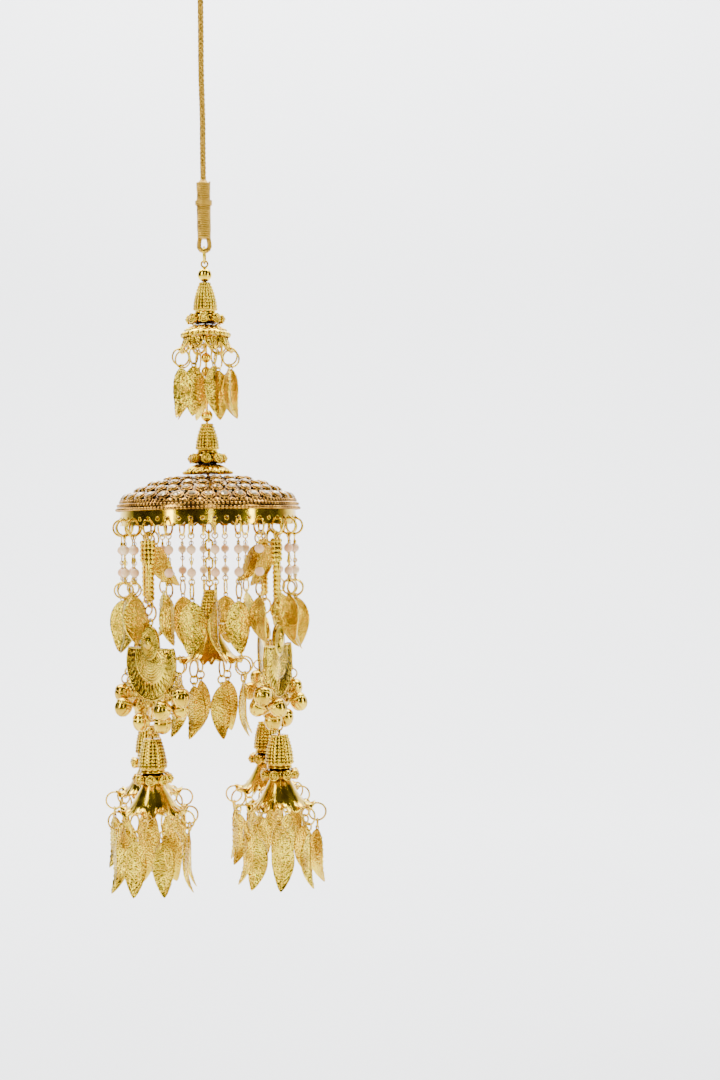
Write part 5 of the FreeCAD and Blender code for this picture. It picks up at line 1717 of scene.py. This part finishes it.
@dataclass
class Drops:
    """The lower drops and the middle drop: cone bead, rosette, flower bell and leaves."""

    leaf: Leaf = field(default_factory=lambda: Leaf(18.8 * MM, 8.0 * MM, 3.0 * MM, 3.0 * MM))
    hang_radius: float = 12.9 * MM
    hang_drop: float = 12.15 * MM
    wobble: tuple[float, ...] = (-14.0, 9.0, 26.0, -6.0, 17.0, -22.0, 4.0, 12.0)
    leaf_turn: float = 10.0
    pin_wire: float = 0.45 * MM
    pin_end: float = 1.1 * MM

    def cone_piece(self, name: str, node: str, body: str, bead: ConeBead, place: Matrix) -> None:
        """Build a pinned cone bead in place of its solid.

        Args:
            name: The piece's name.
            node: The solid that it stands for.
            body: What it moves with.
            bead: The cone bead.
            place: The drop's frame.
        """
        low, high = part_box(node)
        in_middle = body == "centre_drop"
        top = high.z - EYE_WIRE - 2.0 * EYE_RADIUS
        foot = low.z + self.pin_end
        whole = Shape().put(bead.shape(), at(0.0, 0.0, top - (1.2 * MM if in_middle else 1.5 * MM)))
        whole.put(pin(top, foot, self.pin_wire, 10))
        whole.put(ball(self.pin_end, 16, 10), at(0.0, 0.0, foot))
        whole.put(eye_ring(top + EYE_RADIUS, "Y" if in_middle else "X"))
        level = at(place.translation.x, place.translation.y, 0.0) @ place.to_3x3().to_4x4()
        finish_piece(name, Shape().put(whole, level), body, POLISHED, [node])

    def fringe(self, name: str, node: str, body: str, bloom: Matrix) -> None:
        """Hang eight leaves round a flower bell."""
        leaves = LeafField(name, node, body)
        for number, wobble in enumerate(self.wobble):
            place = bloom @ spot(22.5 + 45.0 * number, self.hang_radius, -self.hang_drop)
            leaves.hang(self.leaf, self.leaf_turn + wobble, place)
        leaves.build()

    def build(self) -> None:
        """Build all five drops."""
        flower = FlowerBell().shape()
        rosette = Rosette().shape()
        jobs = [(f"drop_{{}}_{corner.number}", f"lower_drop_{corner.number}", corner.drop,
                 ConeBead(2.7 * MM, 4.7 * MM, 12.1 * MM)) for corner in CORNERS]
        jobs.append(("centre_{}", "centre_drop", Matrix.Identity(4), ConeBead(1.6 * MM, 3.6 * MM, 12.4 * MM)))
        for pattern, body, place, bead in jobs:
            cone, cups, bell, leaves = (pattern.format(part) for part in ("cone", "rosette", "flower",
                                                                          "leaf_drops"))
            self.cone_piece(f"granule_{cone}", cone, body, bead, place)
            x, y = place.translation.x, place.translation.y
            facing = place.to_3x3().to_4x4()
            low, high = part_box(cups)
            middle = at(x, y, 0.5 * (low.z + high.z)) @ facing
            finish_piece(f"cupped_{cups}", Shape().put(rosette, middle), body, POLISHED,
                         [cups])
            bloom = at(x, y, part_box(bell)[1].z) @ facing
            finish_piece(f"ruffled_{bell}", Shape().put(flower, bloom), body, SATIN, [bell])
            self.fringe(f"filigree_{leaves}", leaves, body, bloom)


@dataclass
class HungLeaves:
    """The leaves on the cap, below the pearls and beside the bead bars."""

    long: Leaf = field(default_factory=lambda: Leaf(18.4 * MM, 10.0 * MM, 2.8 * MM, 0.7 * MM))
    short: Leaf = field(default_factory=lambda: Leaf(16.2 * MM, 9.0 * MM, 2.4 * MM, 0.3 * MM))
    cap: Leaf = field(default_factory=lambda: Leaf(18.0 * MM, 8.0 * MM, 3.05 * MM, 0.7 * MM))
    side: Leaf = field(default_factory=lambda: Leaf(15.5 * MM, 8.0 * MM, 2.45 * MM, 0.7 * MM))
    ring_wire: float = 0.36 * MM
    strands: int = 24
    strand_spins: tuple[float, ...] = (0.0, 90.0, 8.0, 75.0, 8.0, 90.0)
    strand_sway: float = 7.0
    cap_leaves: int = 8
    cap_radius: float = 9.45 * MM
    cap_spin: float = 42.0
    cap_sway: float = 9.0
    side_inset: float = 1.57 * MM
    side_lean: float = 12.0
    side_swing: tuple[float, ...] = (18.0, -18.0, 18.0, -18.0)

    def build(self) -> None:
        """Build the three fields of leaves."""
        chance = random.Random(SEED)
        below = LeafField("filigree_pearl_leaves", "pearl_leaf_drops", "ornament")
        strand_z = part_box("pearl_leaf_drops")[1].z - self.ring_wire
        for number in range(self.strands):
            kind = number % 6
            if kind == 0:
                continue
            leaf = self.short if kind in (1, 5) else self.long
            place = spot(FIRST_AZIMUTH + 15.0 * number, HANG_RADIUS, strand_z - leaf.ring_radius)
            sway = chance.uniform(-self.strand_sway, self.strand_sway)
            below.hang(leaf, self.strand_spins[kind] + sway, place)
        below.build()

        upper = LeafField("filigree_cap_leaves", "top_leaf_drops", "ornament")
        cap_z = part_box("top_leaf_drops")[1].z - self.ring_wire - self.cap.ring_radius
        for number in range(self.cap_leaves):
            sway = chance.uniform(-self.cap_sway, self.cap_sway)
            upper.hang(self.cap, self.cap_spin + sway, spot(112.5 + 45.0 * number, self.cap_radius, cap_z))
        upper.build()

        beside = LeafField("filigree_side_leaves", "bar_leaf_drops", "ornament")
        lift = self.side.ring_radius
        lean = at(0.0, 0.0, lift) @ turn(self.side_lean, "Y") @ at(0.0, 0.0, -lift)
        side_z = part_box("bar_leaf_drops")[1].z - self.ring_wire - lift
        for corner, swing in zip(CORNERS, self.side_swing):
            x, y = corner.bar.translation.xy
            azimuth = math.degrees(math.atan2(y, x))
            place = spot(azimuth, HANG_RADIUS - self.side_inset, side_z, 90.0) @ lean @ turn(swing, "X")
            beside.hang(self.side, 90.0, place)
        beside.build()


class StemBeads:
    """The cone beads and rosettes that are strung on the stem."""

    def build(self) -> None:
        """Build the two cones and the two rosettes."""
        for node, bead in (("top_cone", ConeBead(1.6 * MM, 4.1 * MM, 12.0 * MM)),
                           ("crown_cone", ConeBead(1.7 * MM, 4.0 * MM, 11.1 * MM, rows=8))):
            shape = Shape().put(bead.shape(), at(0.0, 0.0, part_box(node)[1].z))
            finish_piece(f"granule_{node}", shape, "ornament", POLISHED, [node])
        rosette = Rosette().shape()
        for node in ("top_rosette", "crown_rosette"):
            low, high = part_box(node)
            shape = Shape().put(rosette, at(0.0, 0.0, 0.5 * (low.z + high.z)))
            finish_piece(f"cupped_{node}", shape, "ornament", POLISHED, [node])


class KeptNodes:
    """The solids whose own shape is right, dressed in their finish."""

    def build(self) -> None:
        """Give each kept solid its material."""
        finishes = {Slot.POLISHED: POLISHED, Slot.SATIN: SATIN, Slot.ANTIQUE: ANTIQUE, Slot.CORD: THREAD,
                    Slot.PEARL: PEARL}
        by_name = {slot.value: finish for slot, finish in finishes.items()}
        for node in frame["nodes"].values():
            slots = node.data.materials
            slot_name = slots[0].name.split(".")[0] if slots else Slot.POLISHED.value
            material = by_name.get(slot_name, POLISHED).material()
            if not slots:
                slots.append(material)
            for index in range(len(slots)):
                slots[index] = material
        log.info("%d solids dressed", len(frame["nodes"]))


@dataclass(frozen=True)
class SoftLight:
    """One soft rectangular light."""

    name: str
    place: Point
    size: tuple[float, float]
    power: float
    target: Point = (0.0, 0.0, -0.2)

    def build(self) -> None:
        """Hang the light so that it looks at its target."""
        data = bpy.data.lights.new(self.name, "AREA")
        data.shape = "RECTANGLE"
        data.size, data.size_y = self.size
        data.energy = self.power
        lamp = bpy.data.objects.new(self.name, data)
        lamp.location = self.place
        looking = Vector(self.target) - Vector(self.place)
        lamp.rotation_euler = looking.to_track_quat("-Z", "Y").to_euler()
        bpy.context.scene.collection.objects.link(lamp)


@dataclass
class Studio:
    """The pale sweep, the soft lights and the camera at the photo's angle."""

    camera: Point = (0.0544, -0.600, -0.20246)
    roll: float = 0.9
    lens: float = 55.56
    sensor: float = 36.0
    floor_z: float = -0.46
    half_wide: float = 4.0
    front: float = -3.0
    bend_start: float = 0.9
    bend: float = 0.6
    top: float = 4.0
    air: tuple[float, float, float, float] = (1.0, 0.97, 0.92, 1.0)
    air_strength: float = 0.045
    lights: tuple[SoftLight, ...] = (
        SoftLight("key_left", (-0.7, -0.7, 0.2), (0.18, 0.9), 8.5),
        SoftLight("fill_right", (0.85, -0.45, -0.1), (0.10, 0.9), 4.5),
        SoftLight("front_strip", (0.15, -1.1, 0.25), (0.06, 0.9), 2.6),
        SoftLight("top", (0.0, -0.1, 0.7), (0.5, 0.3), 3.2),
        SoftLight("backdrop_wash", (0.0, 0.5, 1.3), (2.4, 0.8), 150.0, (0.0, 1.5, 0.0)))

    def sweep(self) -> None:
        """A pale floor that curves up into a backdrop."""
        profile = [(self.front, 0.0), (self.bend_start, 0.0)]
        profile += [(self.bend_start + self.bend * math.sin(a), self.bend - self.bend * math.cos(a))
                    for a in np.linspace(0.1, math.pi / 2, 12)]
        profile += [(self.bend_start + self.bend, self.top)]
        points = [(x, y, self.floor_z + z) for y, z in profile for x in (-self.half_wide, self.half_wide)]
        mesh = bpy.data.meshes.new("sweep")
        mesh.from_pydata(points, [], grid_faces(len(profile), 2, False, False))
        mesh.polygons.foreach_set("use_smooth", [True] * len(mesh.polygons))
        material, tree, shader = start_material("pale_paper")
        tint = ramp(tree, noise(tree, 3.0), ((0.3, (0.86, 0.87, 0.89)), (0.7, (0.89, 0.90, 0.92))))
        tree.links.new(tint, shader.inputs["Base Color"])
        shader.inputs["Roughness"].default_value = 0.9
        mesh.materials.append(material)
        sweep = bpy.data.objects.new("sweep", mesh)
        bpy.context.scene.collection.objects.link(sweep)

    def build(self) -> None:
        """Set up the sweep, the lights and the camera."""
        self.sweep()
        for light in self.lights:
            light.build()
        world = bpy.data.worlds.new("studio")
        world.use_nodes = True
        background = world.node_tree.nodes["Background"]
        background.inputs["Color"].default_value = self.air
        background.inputs["Strength"].default_value = self.air_strength
        bpy.context.scene.world = world
        data = bpy.data.cameras.new("view")
        data.lens = self.lens
        data.sensor_width = self.sensor
        camera = bpy.data.objects.new("view", data)
        camera.location = self.camera
        camera.rotation_euler = (math.radians(90.0), math.radians(self.roll), 0.0)
        bpy.context.scene.collection.objects.link(camera)
        bpy.context.scene.camera = camera


def main() -> None:
    """Build every sub-assembly in order."""
    logging.basicConfig(level=logging.INFO, format="%(message)s")
    for assembly in (Studio(), KeptNodes(), CordRig(), StemBeads(), TopCap(), CrownFlange(),
                     JewelledDome(), BeadBars(), HungLeaves(), Pendant(), SlottedBells(), PearlWires(),
                     BandEyelets(), Drops()):
        assembly.build()


if __name__ == "__main__":
    main()
